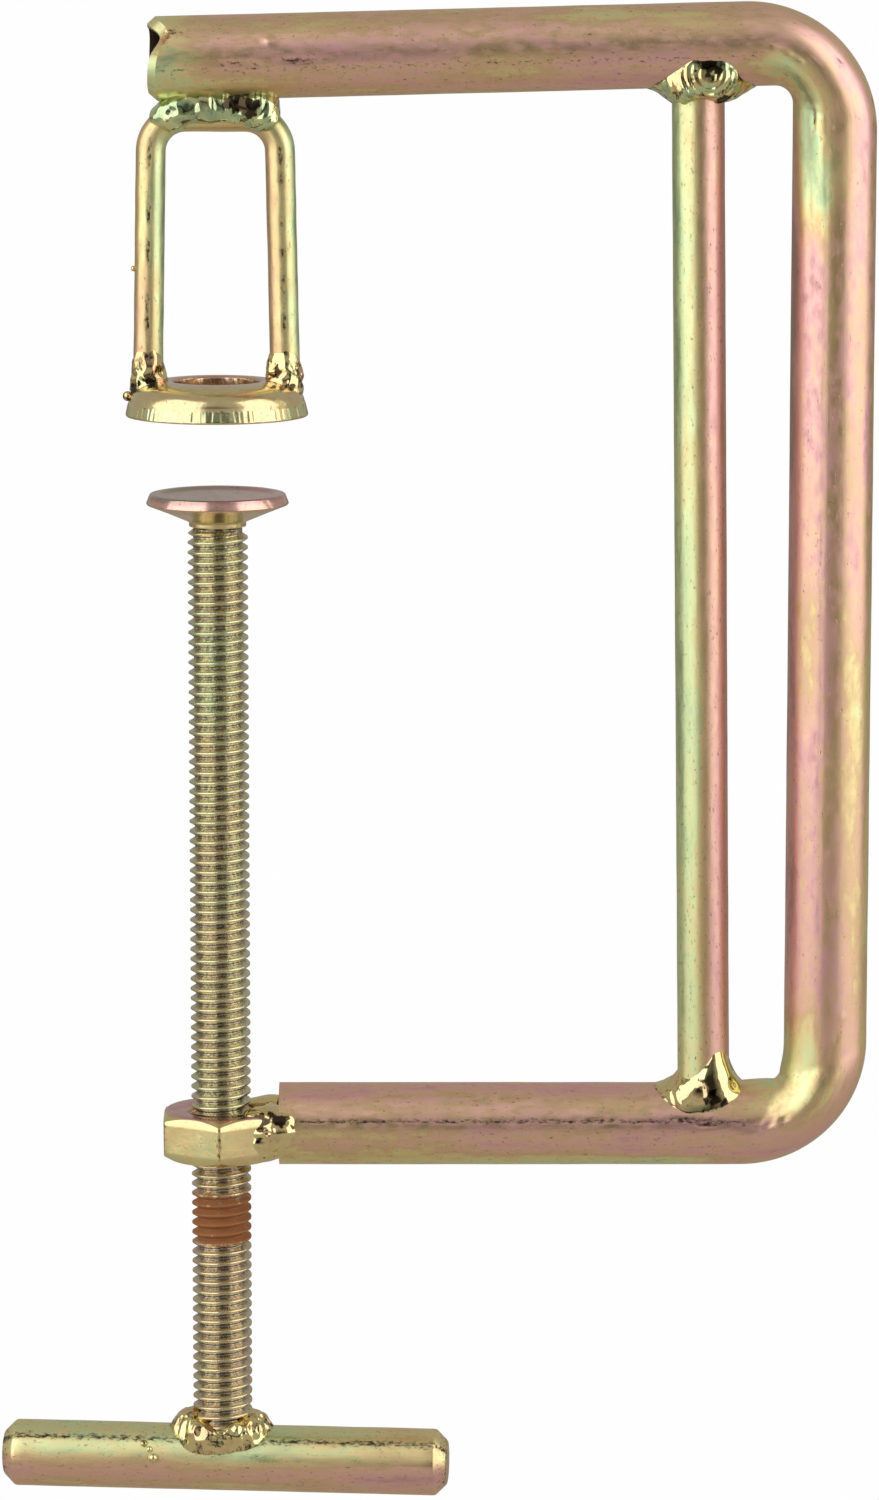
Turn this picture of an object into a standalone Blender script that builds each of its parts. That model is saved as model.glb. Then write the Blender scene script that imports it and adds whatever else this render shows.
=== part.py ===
"""C clamp with a caged ring jaw, of the kind that squeezes a valve spring.

A tube bent into a C carries a caged ring, the fixed jaw, on its upper arm, and a nut on its lower arm.
A screw with a welded cross bar runs through the nut and pushes a disc, the moving jaw, up towards the ring.

Everything is in metres. The origin is the centre of the ring's lower face, +Z runs up the screw's axis,
and the frame lies in the XZ plane with its back at +X.
"""

import math

import bmesh
import bpy
from mathutils import Matrix, Vector

MM = 0.001

# Clearances
JOINT_GAP = 0.3 * MM  # between pieces that touch or are welded
THREAD_PLAY = 0.10 * MM  # between the screw's thread and the nut's, measured along the radius
SWIVEL_PLAY = 0.3 * MM  # around the screw's tip in the disc's socket
CUT_OVERRUN = 2.0 * MM  # how far a cutter runs past what it cuts
CUT_CLEAR = 0.01 * MM  # keeps a cutter's face off a face that it leaves whole

# Frame tube
TUBE_D = 13.1 * MM
TUBE_WALL = 1.6 * MM
REACH = 96.25 * MM  # screw axis to the back tube's centreline
UPPER_OVERHANG = 10.3 * MM  # upper arm's end, past the screw axis
ARM_DROOP = math.radians(1.45)  # the upper arm falls this much towards its open end
END_SKEW = 0.065  # how far the upper end's saw cut is out of square, as a slope
LOWER_ARM_DROP = 113.45 * MM  # ring's lower face to the lower arm's centreline
UPPER_BEND = (20.1 * MM, 2.8 * MM)  # radius along the outside and along the inside
LOWER_BEND = (20.2 * MM, 1.8 * MM)
BEND_BULGE = 0.6 * MM  # each side swells this much where the bend flattens the tube

# Brace
BRACE_D = 8.2 * MM
BRACE_TOP_IN = 21.35 * MM  # in from the back tube's centreline, at the upper arm
BRACE_BOTTOM_IN = 19.25 * MM  # and at the lower arm

# Cage: yoke and ring
YOKE_D = 4.65 * MM
CAGE_HEIGHT = 48.9 * MM  # ring's lower face to the top of the yoke
YOKE_FOOT_IN = 3.5 * MM  # a leg's centreline in from the ring's edge
YOKE_LEAN = 0.85 * MM  # and this much further in under the crown
YOKE_CORNER_R = 5.4 * MM  # of the rod's centreline
RING_D = 28.6 * MM
RING_HOLE_D = 13.9 * MM
RING_HEIGHT = 5.5 * MM
RING_BAND = 2.15 * MM  # height of the upright edge
RING_FLARE = 0.4 * MM  # the edge leans out this much at its foot
RING_LIP = 1.25 * MM  # width of the flat lip between the hole and the dome
RING_LEAD = 0.4 * MM  # the hole's rounded upper edge
RING_SEAT_RIM = 2.5 * MM  # width of the foot round the seat
RING_SEAT_DEPTH = 1.5 * MM
EDGE_BREAK = (0.15 * MM, 0.2 * MM)  # the jaws' broken edges: in from the side, and up

# Disc on the screw's tip
JAW_GAP = 12.25 * MM  # ring's lower face to the disc's rim, at rest
DISC_D = 22.4 * MM  # across the foot of its edge
DISC_TOP_D = 20.8 * MM
DISC_EDGE = 1.75 * MM
DISC_CONE = 2.7 * MM  # height of the coned underside
DISC_NECK_IN = 0.25 * MM  # the neck's side in from the thread's crest
DISC_NECK = 0.75 * MM
DISC_RIM = 1.2 * MM  # width of the flat rim round the dish
DISC_DISH = 0.35 * MM

# Screw and nut: a right-hand thread of 16 turns to the inch
SCREW_D = 9.5 * MM
PITCH = 1.5875 * MM
THREAD_DEPTH = 1.0 * MM
THREAD_SIDES = 12
SCREW_BELOW_ARM = 49.45 * MM  # lower arm's centreline to the screw's lower end
TIP_LENGTH = 2.9 * MM  # the headed tip that holds the disc
TIP_HEAD_IN = 0.65 * MM  # the head's side in from the thread's root
TIP_NECK_IN = 0.8 * MM  # the neck's side in from the head's
TIP_HEAD = 1.0 * MM  # thickness of the head's side
TIP_CONE = 0.4 * MM  # height of the head's coned underside
TIP_BREAK = 0.3 * MM
NUT_ACROSS = 18.0 * MM
NUT_HEIGHT = 7.6 * MM
NUT_DROP = 1.4 * MM  # nut's middle below the lower arm's centreline
NUT_CHAMFER = math.radians(30)
NUT_FACE_SHARE = 0.955  # the round face's diameter, over the distance across the flats

# Cross bar
BAR_D = 10.65 * MM
BAR_LENGTH = 71.8 * MM
BAR_CHAMFER = 1.8 * MM
BAR_OFFSET = 0.4 * MM  # its middle lies this much off the screw's axis
BAR_TURN = math.radians(-5)

# Weld beads. One round a rod spreads past the rod's side, rises up the rod, and is sunk below where it starts
BEAD_EDGE = 0.45 * MM  # thickness where a bead runs out
BRACE_BEAD_SPREAD, BRACE_BEAD_RISE, BRACE_BEAD_SINK = 2.5 * MM, 4.6 * MM, 2.4 * MM
BRACE_BEAD_START = 1.2 * MM  # below the arm's crest
LEG_BEAD_SPREAD, LEG_BEAD_RISE, LEG_BEAD_SINK = 0.975 * MM, 5.45 * MM, 1.2 * MM
LEG_BEAD_START = 1.0 * MM  # above the ring's upright edge
LEG_BEAD_SHIFT = 0.6 * MM  # towards the ring's hole
BAR_BEAD_SPREAD, BAR_BEAD_RISE, BAR_BEAD_SINK = 2.35 * MM, 5.1 * MM, 2.2 * MM
BAR_BEAD_START = 1.0 * MM  # below the screw's end
YOKE_BEAD = (9.9 * MM, 2.5 * MM, 2.3 * MM)  # half length, half depth, half height
YOKE_BEAD_PLACE = (1.0 * MM, 0.5 * MM, 0.9 * MM)  # right of the screw, out from the rod, below its top
NUT_BEAD = (5.0 * MM, 2.8 * MM, 3.6 * MM)
NUT_BEAD_PLACE = (1.2 * MM, 0.4 * MM)  # past the arm's end, and below its centreline

ROUND = 24  # sides of a plain round piece
FINE = 36
BEAD_SIDES = 20
BEND_STEPS = 8

# Places worked out from the sizes above
TUBE_R = TUBE_D / 2
CROWN_Z = CAGE_HEIGHT - YOKE_D / 2
UPPER_ARM_Z = CAGE_HEIGHT + JOINT_GAP + TUBE_R / math.cos(ARM_DROOP)  # on the screw's axis
LOWER_ARM_Z = -LOWER_ARM_DROP
BRACE_TOP_X = REACH - BRACE_TOP_IN
BRACE_BOTTOM_X = REACH - BRACE_BOTTOM_IN
YOKE_BOTTOM_HALF = RING_D / 2 - YOKE_FOOT_IN  # a leg's centreline from the screw's axis
YOKE_TOP_HALF = YOKE_BOTTOM_HALF - YOKE_LEAN
ROOT_R = SCREW_D / 2 - THREAD_DEPTH
TIP_HEAD_R = ROOT_R - TIP_HEAD_IN
TIP_NECK_R = TIP_HEAD_R - TIP_NECK_IN
LOWER_END_X = NUT_ACROSS / 2 + JOINT_GAP
NUT_Z = LOWER_ARM_Z - NUT_DROP
DISC_TOP_Z = -JAW_GAP
DISC_FOOT_Z = DISC_TOP_Z - DISC_EDGE - DISC_CONE - DISC_NECK
SCREW_TOP_Z = DISC_FOOT_Z - JOINT_GAP
SCREW_END_Z = LOWER_ARM_Z - SCREW_BELOW_ARM
BAR_Z = SCREW_END_Z - JOINT_GAP - BAR_D / 2
UPPER_DIRECTION = Vector((math.cos(ARM_DROOP), 0, math.sin(ARM_DROOP)))
DOWN = Vector((0, 0, -1))


def clear_scene():
    for obj in list(bpy.data.objects):
        bpy.data.objects.remove(obj, do_unlink=True)


def new_collection(name):
    group = bpy.data.collections.new(name)
    bpy.context.scene.collection.children.link(group)
    return group


def upper_arm_point(x):
    """The upper arm's centreline at a distance x from the screw's axis."""
    return Vector((x, 0, UPPER_ARM_Z + x * math.tan(ARM_DROOP)))


def plating(obj, colour, roughness):
    """Yellow-passivated zinc on steel, in the tint that this piece took."""
    material = bpy.data.materials.new(obj.name)
    material.use_nodes = True
    shader = material.node_tree.nodes["Principled BSDF"]
    shader.inputs["Base Color"].default_value = (*colour, 1)
    shader.inputs["Metallic"].default_value = 1
    shader.inputs["Roughness"].default_value = roughness
    obj.data.materials.append(material)


def add_object(name, bm, group):
    mesh = bpy.data.meshes.new(name)
    bmesh.ops.recalc_face_normals(bm, faces=bm.faces)
    bm.to_mesh(mesh)
    bm.free()
    mesh.shade_smooth()
    mesh.set_sharp_from_angle(angle=math.radians(35))
    obj = bpy.data.objects.new(name, mesh)
    group.objects.link(obj)
    return obj


def as_cutter(obj):
    obj.hide_render = True
    obj.display_type = "WIRE"
    return obj


def cylinder(name, radius, start, end, group, sides=ROUND):
    """A round bar from one point to another. A side's corner faces +Y and -Y."""
    start, end = Vector(start), Vector(end)
    bm = bmesh.new()
    length = (end - start).length
    bmesh.ops.create_cone(
        bm, cap_ends=True, segments=sides, radius1=radius, radius2=radius, depth=length
    )
    obj = add_object(name, bm, group)
    obj.location = (start + end) / 2
    obj.rotation_euler = (end - start).to_track_quat("Z", "Y").to_euler()
    return obj


def turned(name, profile, group, sides=FINE):
    """A solid of revolution about Z. The profile lists (radius, height) down its outer side."""
    bm = bmesh.new()
    points = [bm.verts.new((radius, 0, height)) for radius, height in profile]
    for a, b in zip(points, points[1:]):
        bm.edges.new((a, b))
    mesh = bpy.data.meshes.new(name)
    bm.to_mesh(mesh)
    bm.free()
    obj = bpy.data.objects.new(name, mesh)
    group.objects.link(obj)
    screw = obj.modifiers.new("turn", "SCREW")
    screw.steps = screw.render_steps = sides
    screw.use_merge_vertices = True
    screw.merge_threshold = 0.00001
    screw.use_smooth_shade = True
    return obj


def apply_modifiers(obj):
    """Turns the object's evaluated shape into its own mesh, with each corner shared."""
    evaluated = obj.evaluated_get(bpy.context.evaluated_depsgraph_get())
    mesh = bpy.data.meshes.new_from_object(evaluated)
    bm = bmesh.new()
    bm.from_mesh(mesh)
    bmesh.ops.remove_doubles(bm, verts=bm.verts, dist=0.000001)
    bmesh.ops.recalc_face_normals(bm, faces=bm.faces)
    bm.to_mesh(mesh)
    bm.free()
    return mesh


def cut(obj, *tools, operation="DIFFERENCE"):
    for tool in tools:
        boolean = obj.modifiers.new(f"{operation.lower()} {tool.name}", "BOOLEAN")
        boolean.object = tool
        boolean.operation = operation
        boolean.solver = "EXACT"


def arc(centre, radius, start, end, steps):
    """Points (x, z) on an arc about a centre, from one angle to another."""
    for step in range(steps + 1):
        angle = start + (end - start) * step / steps
        yield Vector(
            (centre[0] + radius * math.cos(angle), centre[1] + radius * math.sin(angle))
        )


# ---------------------------------------------------------------- frame tube


def section(outside, inside, bulge):
    """A cross section of the tube: its middle, and its half widths in the frame's plane and across it."""
    middle = (outside + inside) / 2
    return middle, (outside - inside) / 2, bulge


def bend_sections(corner, first, second, radius, bend, shrink):
    """Sections round a bend from the first run's direction to the second's, which meet at the corner."""
    outer_r, inner_r = bend[0] - shrink, bend[1] + shrink
    turn = first.angle(second)
    normals = [Vector((-d.z, 0, d.x)) for d in (first, second)]
    bisector = (normals[0] + normals[1]).normalized()
    to_corner = 1 / math.cos(turn / 2)
    outer_centre = corner + bisector * (radius - outer_r) * to_corner
    inner_centre = corner - bisector * (radius + inner_r) * to_corner
    for step in range(BEND_STEPS + 1):
        share = step / BEND_STEPS
        normal = normals[0].copy()
        normal.rotate(Matrix.Rotation(turn * share, 3, "Y"))
        yield section(
            outer_centre + normal * outer_r,
            inner_centre + normal * inner_r,
            radius + BEND_BULGE * math.sin(math.pi * share),
        )


def tube_sections(shrink):
    """The tube's skin from its open end to the nut. A shrink of the wall's thickness gives the bore."""
    radius = TUBE_R - shrink
    lower_direction = Vector((-1, 0, 0))
    upper_corner = upper_arm_point(REACH)
    lower_corner = Vector((REACH, 0, LOWER_ARM_Z))
    upper_normal = Vector((-UPPER_DIRECTION.z, 0, UPPER_DIRECTION.x))
    start = upper_arm_point(-UPPER_OVERHANG)
    end = Vector((LOWER_END_X, 0, LOWER_ARM_Z))
    yield section(start + upper_normal * radius, start - upper_normal * radius, radius)
    yield from bend_sections(
        upper_corner, UPPER_DIRECTION, DOWN, radius, UPPER_BEND, shrink
    )
    yield from bend_sections(
        lower_corner, DOWN, lower_direction, radius, LOWER_BEND, shrink
    )
    below = Vector((0, 0, -radius))
    yield section(end + below, end - below, radius)


def skin(bm, sections):
    """Rings of corners round each section."""
    rings = []
    for middle, half, across in sections:
        ring = []
        for side in range(ROUND):
            angle = math.tau * side / ROUND
            point = middle + half * math.cos(angle)
            point += Vector((0, across * math.sin(angle), 0))
            ring.append(bm.verts.new(point))
        rings.append(ring)
    for corner in rings[0]:
        corner.co.x -= END_SKEW * corner.co.y
    return rings


def bridge(bm, ring, other):
    for side in range(ROUND):
        after = (side + 1) % ROUND
        bm.faces.new((ring[side], ring[after], other[after], other[side]))


def make_frame_tube(group):
    bm = bmesh.new()
    outer = skin(bm, tube_sections(0))
    bore = skin(bm, tube_sections(TUBE_WALL))
    for rings in (outer, bore):
        for ring, other in zip(rings, rings[1:]):
            bridge(bm, ring, other)
    for end in (0, -1):
        bridge(bm, outer[end], bore[end])
    tube = add_object("frame_tube", bm, group)
    plating(tube, (0.42, 0.34, 0.20), 0.4)
    return tube


# ---------------------------------------------------------------- cage


def yoke_points():
    """The rod's centreline, up the left leg, over the crown and down the right leg."""
    lean = math.atan2(YOKE_BOTTOM_HALF - YOKE_TOP_HALF, CROWN_Z)
    foot = Vector((YOKE_BOTTOM_HALF, RING_BAND))
    tangent = YOKE_CORNER_R * math.tan((math.pi / 2 - lean) / 2)
    centre = Vector((YOKE_TOP_HALF - tangent, CROWN_Z - YOKE_CORNER_R))
    right = list(arc(centre, YOKE_CORNER_R, math.pi / 2, lean, 6))
    right.append(foot)
    left = [Vector((-point.x, point.y)) for point in reversed(right)]
    return [Vector((point.x, 0, point.y)) for point in left + right]


def rod_mesh(name, points, radius, group):
    """A bent round rod with closed ends, as a mesh."""
    curve = bpy.data.curves.new(name, "CURVE")
    curve.dimensions = "3D"
    curve.bevel_depth = radius
    curve.bevel_resolution = 4
    curve.use_fill_caps = True
    spline = curve.splines.new("POLY")
    spline.points.add(len(points) - 1)
    for control, point in zip(spline.points, points):
        control.co = (*point, 1)
    rod = bpy.data.objects.new(name, curve)
    group.objects.link(rod)
    mesh = apply_modifiers(rod)
    place = rod.matrix_world.copy()
    bpy.data.objects.remove(rod)
    mesh.name = name
    obj = bpy.data.objects.new(name, mesh)
    obj.matrix_world = place
    group.objects.link(obj)
    return obj


def ring_profile(swell):
    """The ring's outer shape, without its hole or seat. A swell grows it, for cutting what meets it."""
    foot_r = RING_D / 2 + swell
    band_r = foot_r - RING_FLARE
    lip_r = RING_HOLE_D / 2 + RING_LIP
    top = RING_HEIGHT + swell
    inward, upward = EDGE_BREAK
    shoulder = Vector((band_r - inward, RING_BAND))
    profile = [(0, top), (lip_r, top)]
    for step in range(1, 8):
        angle = math.pi / 2 * (1 - step / 8)
        across = lip_r + (shoulder.x - lip_r) * math.cos(angle)
        up = shoulder.y + (top - shoulder.y) * math.sin(angle)
        profile.append((across, up))
    profile += [(shoulder.x, shoulder.y), (band_r, RING_BAND - inward)]
    profile += [(foot_r, upward), (foot_r - inward, -swell), (0, -swell)]
    return profile


def make_jaw_ring(group, cutters):
    hole_r, seat_r = RING_HOLE_D / 2, RING_D / 2 - RING_SEAT_RIM
    ring = turned("jaw_ring", ring_profile(0), group)
    above = RING_HEIGHT + CUT_OVERRUN
    lead = RING_LEAD
    hole = turned(
        "ring_hole",
        [
            (0, above),
            (hole_r + lead, above),
            (hole_r + lead, RING_HEIGHT),
            (hole_r + lead / 3, RING_HEIGHT - lead / 3),
            (hole_r, RING_HEIGHT - lead),
            (hole_r, RING_SEAT_DEPTH),
            (seat_r, RING_SEAT_DEPTH),
            (seat_r, -CUT_OVERRUN),
            (0, -CUT_OVERRUN),
        ],
        cutters,
    )
    cut(ring, as_cutter(hole))
    plating(ring, (0.47, 0.42, 0.22), 0.3)
    return ring


def make_cage_yoke(group, ring_space):
    yoke = rod_mesh("cage_yoke", yoke_points(), YOKE_D / 2, group)
    cut(yoke, ring_space)
    plating(yoke, (0.60, 0.52, 0.28), 0.3)
    return yoke


# ---------------------------------------------------------------- brace


def brace_line():
    """Where the brace's centreline meets the two arms' centrelines."""
    return upper_arm_point(BRACE_TOP_X), Vector((BRACE_BOTTOM_X, 0, LOWER_ARM_Z))


def make_brace(group, *arm_spaces):
    brace = cylinder("brace_rod", BRACE_D / 2, *brace_line(), group)
    cut(brace, *arm_spaces)
    plating(brace, (0.50, 0.50, 0.27), 0.35)
    return brace


# ---------------------------------------------------------------- screw, nut, disc and bar


def thread_body(name, major_r, root_r, bottom, top, group):
    """A right-hand threaded bar with pointed ends, which what it is used on then trims to length."""
    turns = math.ceil((top - bottom) / PITCH) + 1
    bm = bmesh.new()
    low = PITCH * math.floor(bottom / PITCH) - PITCH
    profile = [
        bm.verts.new((root_r, 0, low)),
        bm.verts.new((major_r, 0, low + PITCH / 2)),
        bm.verts.new((root_r, 0, low + PITCH)),
    ]
    edges = [bm.edges.new(pair) for pair in zip(profile, profile[1:])]
    bmesh.ops.spin(
        bm,
        geom=profile + edges,
        cent=(0, 0, 0),
        axis=(0, 0, 1),
        dvec=(0, 0, PITCH / THREAD_SIDES),
        angle=math.tau * turns,
        steps=THREAD_SIDES * turns,
    )
    bmesh.ops.remove_doubles(bm, verts=bm.verts, dist=0.000002)
    open_edges = [edge for edge in bm.edges if edge.is_boundary]
    middle = low + PITCH * turns / 2
    tips = bm.verts.new((0, 0, low - PITCH)), bm.verts.new((0, 0, low + PITCH * (turns + 2)))
    for edge in open_edges:
        upper = edge.verts[0].co.z > middle
        bm.faces.new((*edge.verts, tips[upper]))
    return add_object(name, bm, group)


def screw_blank():
    """The screw before its thread is cut: a small head on a neck, then the bar with a bevelled start."""
    tip_top = SCREW_TOP_Z + TIP_LENGTH
    radius = SCREW_D / 2 + THREAD_PLAY
    return [
        (0, tip_top),
        (TIP_HEAD_R - TIP_BREAK, tip_top),
        (TIP_HEAD_R, tip_top - TIP_BREAK),
        (TIP_HEAD_R, tip_top - TIP_HEAD),
        (TIP_NECK_R, tip_top - TIP_HEAD - TIP_CONE),
        (TIP_NECK_R, SCREW_TOP_Z),
        (radius - THREAD_DEPTH, SCREW_TOP_Z),
        (radius, SCREW_TOP_Z - THREAD_DEPTH / 2),
        (radius, SCREW_END_Z),
        (0, SCREW_END_Z),
    ]


def make_screw(group, cutters):
    screw = thread_body(
        "spindle_screw",
        SCREW_D / 2,
        ROOT_R,
        SCREW_END_Z,
        SCREW_TOP_Z + TIP_LENGTH,
        group,
    )
    blank = as_cutter(turned("screw_blank", screw_blank(), cutters))
    cut(screw, blank, operation="INTERSECT")
    plating(screw, (0.45, 0.33, 0.17), 0.35)
    return screw


def hexagon(name, across, bottom, top, group):
    """A six-sided bar with a corner towards -Y and a flat towards +X."""
    bm = bmesh.new()
    radius = across / 2 / math.cos(math.pi / 6)
    bmesh.ops.create_cone(
        bm, cap_ends=True, segments=6, radius1=radius, radius2=radius, depth=top - bottom
    )
    obj = add_object(name, bm, group)
    obj.location = (0, 0, (bottom + top) / 2)
    return obj


def make_nut(group, cutters):
    bottom, top = NUT_Z - NUT_HEIGHT / 2, NUT_Z + NUT_HEIGHT / 2
    corner_r = NUT_ACROSS / 2 / math.cos(math.pi / 6)
    face_r = NUT_FACE_SHARE * NUT_ACROSS / 2
    out = corner_r + CUT_OVERRUN
    fall = (out - face_r) * math.tan(NUT_CHAMFER)
    nut = hexagon("spindle_nut", NUT_ACROSS, bottom, top, group)
    envelope = turned(
        "nut_chamfers",
        [
            (0, top + CUT_CLEAR),
            (face_r, top + CUT_CLEAR),
            (out, top - fall),
            (out, bottom + fall),
            (face_r, bottom - CUT_CLEAR),
            (0, bottom - CUT_CLEAR),
        ],
        cutters,
    )
    grow = 1 / math.cos(math.pi / THREAD_SIDES)  # keeps flat-sided turns clear as the screw turns
    major_r = (SCREW_D / 2 + THREAD_PLAY) * grow
    root_r = (ROOT_R + THREAD_PLAY) * grow
    bore = thread_body("nut_thread", major_r, root_r, bottom - PITCH, top + PITCH, cutters)
    sink = major_r - root_r
    upper_mouth = turned(
        "nut_upper_mouth",
        [
            (0, top + CUT_OVERRUN),
            (major_r + CUT_OVERRUN, top + CUT_OVERRUN),
            (root_r, top - sink),
            (0, top - sink),
        ],
        cutters,
    )
    lower_mouth = turned(
        "nut_lower_mouth",
        [
            (0, bottom + sink),
            (root_r, bottom + sink),
            (major_r + CUT_OVERRUN, bottom - CUT_OVERRUN),
            (0, bottom - CUT_OVERRUN),
        ],
        cutters,
    )
    cut(nut, as_cutter(envelope), operation="INTERSECT")
    cut(nut, as_cutter(bore), as_cutter(upper_mouth), as_cutter(lower_mouth))
    plating(nut, (0.58, 0.50, 0.24), 0.25)
    return nut


def make_disc(group, cutters):
    edge_z = DISC_TOP_Z - DISC_EDGE
    cone_z = edge_z - DISC_CONE
    dish_r = DISC_TOP_D / 2 - DISC_RIM
    disc_neck_r = SCREW_D / 2 - DISC_NECK_IN
    inward, upward = EDGE_BREAK
    disc = turned(
        "pressure_disc",
        [
            (0, DISC_TOP_Z - DISC_DISH),
            (dish_r - 2 * DISC_DISH, DISC_TOP_Z - DISC_DISH),
            (dish_r, DISC_TOP_Z),
            (DISC_TOP_D / 2, DISC_TOP_Z),
            (DISC_D / 2, edge_z + upward),
            (DISC_D / 2 - inward, edge_z),
            (disc_neck_r, cone_z),
            (disc_neck_r, DISC_FOOT_Z),
            (0, DISC_FOOT_Z),
        ],
        group,
    )
    roof = SCREW_TOP_Z + TIP_LENGTH + JOINT_GAP
    head_foot = SCREW_TOP_Z + TIP_LENGTH - TIP_HEAD - TIP_CONE - SWIVEL_PLAY
    head_r = TIP_HEAD_R + SWIVEL_PLAY
    neck_r = TIP_NECK_R + SWIVEL_PLAY
    socket = turned(
        "disc_socket",
        [
            (0, roof),
            (head_r, roof),
            (head_r, head_foot),
            (neck_r, head_foot),
            (neck_r, DISC_FOOT_Z - CUT_OVERRUN),
            (0, DISC_FOOT_Z - CUT_OVERRUN),
        ],
        cutters,
    )
    cut(disc, as_cutter(socket))
    plating(disc, (0.45, 0.38, 0.30), 0.3)
    return disc


def bar_ends(grow):
    """The cross bar's two ends, each moved out by grow."""
    along = Vector((math.cos(BAR_TURN), math.sin(BAR_TURN), 0))
    middle = Vector((0, 0, BAR_Z)) + along * BAR_OFFSET
    half = BAR_LENGTH / 2 + grow
    return middle - along * half, middle + along * half


def make_handle_bar(group):
    bar = cylinder("handle_bar", BAR_D / 2, *bar_ends(0), group)
    bevel = bar.modifiers.new("chamfer", "BEVEL")
    bevel.width = BAR_CHAMFER
    bevel.segments = 2
    bevel.limit_method = "ANGLE"
    bevel.angle_limit = math.radians(60)
    plating(bar, (0.42, 0.35, 0.22), 0.4)
    return bar


# ---------------------------------------------------------------- weld beads


def collar(name, rod_r, spread, rise, sink, group):
    """A bead laid round a rod along Z: a hollow curve from its spread at 0 to the rod at its rise."""
    top_r, bead_r = rod_r + JOINT_GAP + BEAD_EDGE, rod_r + spread
    steps = 5
    profile = [(0, rise)]
    for step in range(steps + 1):
        angle = math.pi / 2 * step / steps
        across = bead_r - (bead_r - top_r) * math.cos(angle)
        up = rise * (1 - math.sin(angle))
        profile.append((across, up))
    profile += [(bead_r, -sink), (0, -sink)]
    return turned(name, profile, group, sides=BEAD_SIDES)


def blob(name, middle, half, group):
    """A rounded bead with its three half sizes."""
    bm = bmesh.new()
    bmesh.ops.create_uvsphere(bm, u_segments=14, v_segments=8, radius=1)
    bmesh.ops.scale(bm, vec=half, verts=bm.verts)
    obj = add_object(name, bm, group)
    obj.location = middle
    return obj


def bead_finish(bead):
    plating(bead, (0.40, 0.38, 0.20), 0.15)


def make_brace_beads(group, arm_spaces, brace_space):
    top, bottom = brace_line()
    lean = (top - bottom).to_track_quat("Z", "Y")
    for name, corner, flip in (
        ("weld_brace_top", top, True),
        ("weld_brace_bottom", bottom, False),
    ):
        bead = collar(
            name, BRACE_D / 2, BRACE_BEAD_SPREAD, BRACE_BEAD_RISE, BRACE_BEAD_SINK, group
        )
        turn = lean.to_matrix()
        if flip:
            turn = turn @ Matrix.Rotation(math.pi, 3, "X")
        away = turn @ Vector((0, 0, TUBE_R - BRACE_BEAD_START))
        bead.location = corner + away
        bead.rotation_euler = turn.to_euler()
        cut(bead, arm_spaces[flip], brace_space)
        bead_finish(bead)


def make_yoke_beads(group, arm_space, yoke_space):
    along, out, drop = YOKE_BEAD_PLACE
    away = YOKE_D / 2 + JOINT_GAP + out
    for name, side in (("weld_yoke_front", -1), ("weld_yoke_back", 1)):
        middle = Vector((along, side * away, CAGE_HEIGHT - drop))
        bead = blob(name, middle, YOKE_BEAD, group)
        cut(bead, arm_space, yoke_space)
        bead_finish(bead)


def make_leg_beads(group, ring_space, yoke_space):
    across = YOKE_BOTTOM_HALF - LEG_BEAD_SHIFT
    for name, side in (("weld_leg_left", -1), ("weld_leg_right", 1)):
        bead = collar(name, YOKE_D / 2, LEG_BEAD_SPREAD, LEG_BEAD_RISE, LEG_BEAD_SINK, group)
        bead.location = (side * across, 0, RING_BAND + LEG_BEAD_START)
        cut(bead, ring_space, yoke_space)
        bead_finish(bead)


def make_nut_beads(group, arm_space, nut_space):
    past, drop = NUT_BEAD_PLACE
    for name, side in (("weld_nut_front", -1), ("weld_nut_back", 1)):
        middle = Vector((LOWER_END_X - past, side * TUBE_R, LOWER_ARM_Z - drop))
        bead = blob(name, middle, NUT_BEAD, group)
        cut(bead, arm_space, nut_space)
        bead_finish(bead)


def make_bar_bead(group, bar_space, screw_space):
    bead = collar(
        "weld_handle", SCREW_D / 2, BAR_BEAD_SPREAD, BAR_BEAD_RISE, BAR_BEAD_SINK, group
    )
    bead.location = (0, 0, SCREW_END_Z - BAR_BEAD_START)
    cut(bead, bar_space, screw_space)
    bead_finish(bead)
    return bead


# ---------------------------------------------------------------- assembly


def make_spaces(cutters):
    """Each neighbour's shape grown by the joint gap, for cutting what meets it."""
    arm_r = TUBE_R + JOINT_GAP
    past = CUT_OVERRUN
    bottom = NUT_Z - NUT_HEIGHT / 2 - JOINT_GAP
    top = NUT_Z + NUT_HEIGHT / 2 + JOINT_GAP
    lower = Vector((LOWER_END_X - JOINT_GAP, 0, LOWER_ARM_Z))
    brace_top, brace_bottom = brace_line()
    spaces = {
        "upper_arm": cylinder(
            "upper_arm_space",
            arm_r,
            upper_arm_point(-UPPER_OVERHANG - past),
            upper_arm_point(REACH),
            cutters,
        ),
        "lower_arm": cylinder(
            "lower_arm_space", arm_r, lower, (REACH, 0, LOWER_ARM_Z), cutters
        ),
        "brace": cylinder(
            "brace_space", BRACE_D / 2 + JOINT_GAP, brace_top, brace_bottom, cutters
        ),
        "yoke": rod_mesh("yoke_space", yoke_points(), YOKE_D / 2 + JOINT_GAP, cutters),
        "ring": turned("ring_space", ring_profile(JOINT_GAP), cutters),
        "nut": hexagon("nut_space", NUT_ACROSS + 2 * JOINT_GAP, bottom, top, cutters),
        "bar": cylinder("bar_space", BAR_D / 2 + JOINT_GAP, *bar_ends(past), cutters),
        "screw": cylinder(
            "screw_space",
            SCREW_D / 2 + JOINT_GAP,
            (0, 0, SCREW_TOP_Z),
            (0, 0, BAR_Z),
            cutters,
        ),
    }
    for space in spaces.values():
        as_cutter(space)
    return spaces


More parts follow.
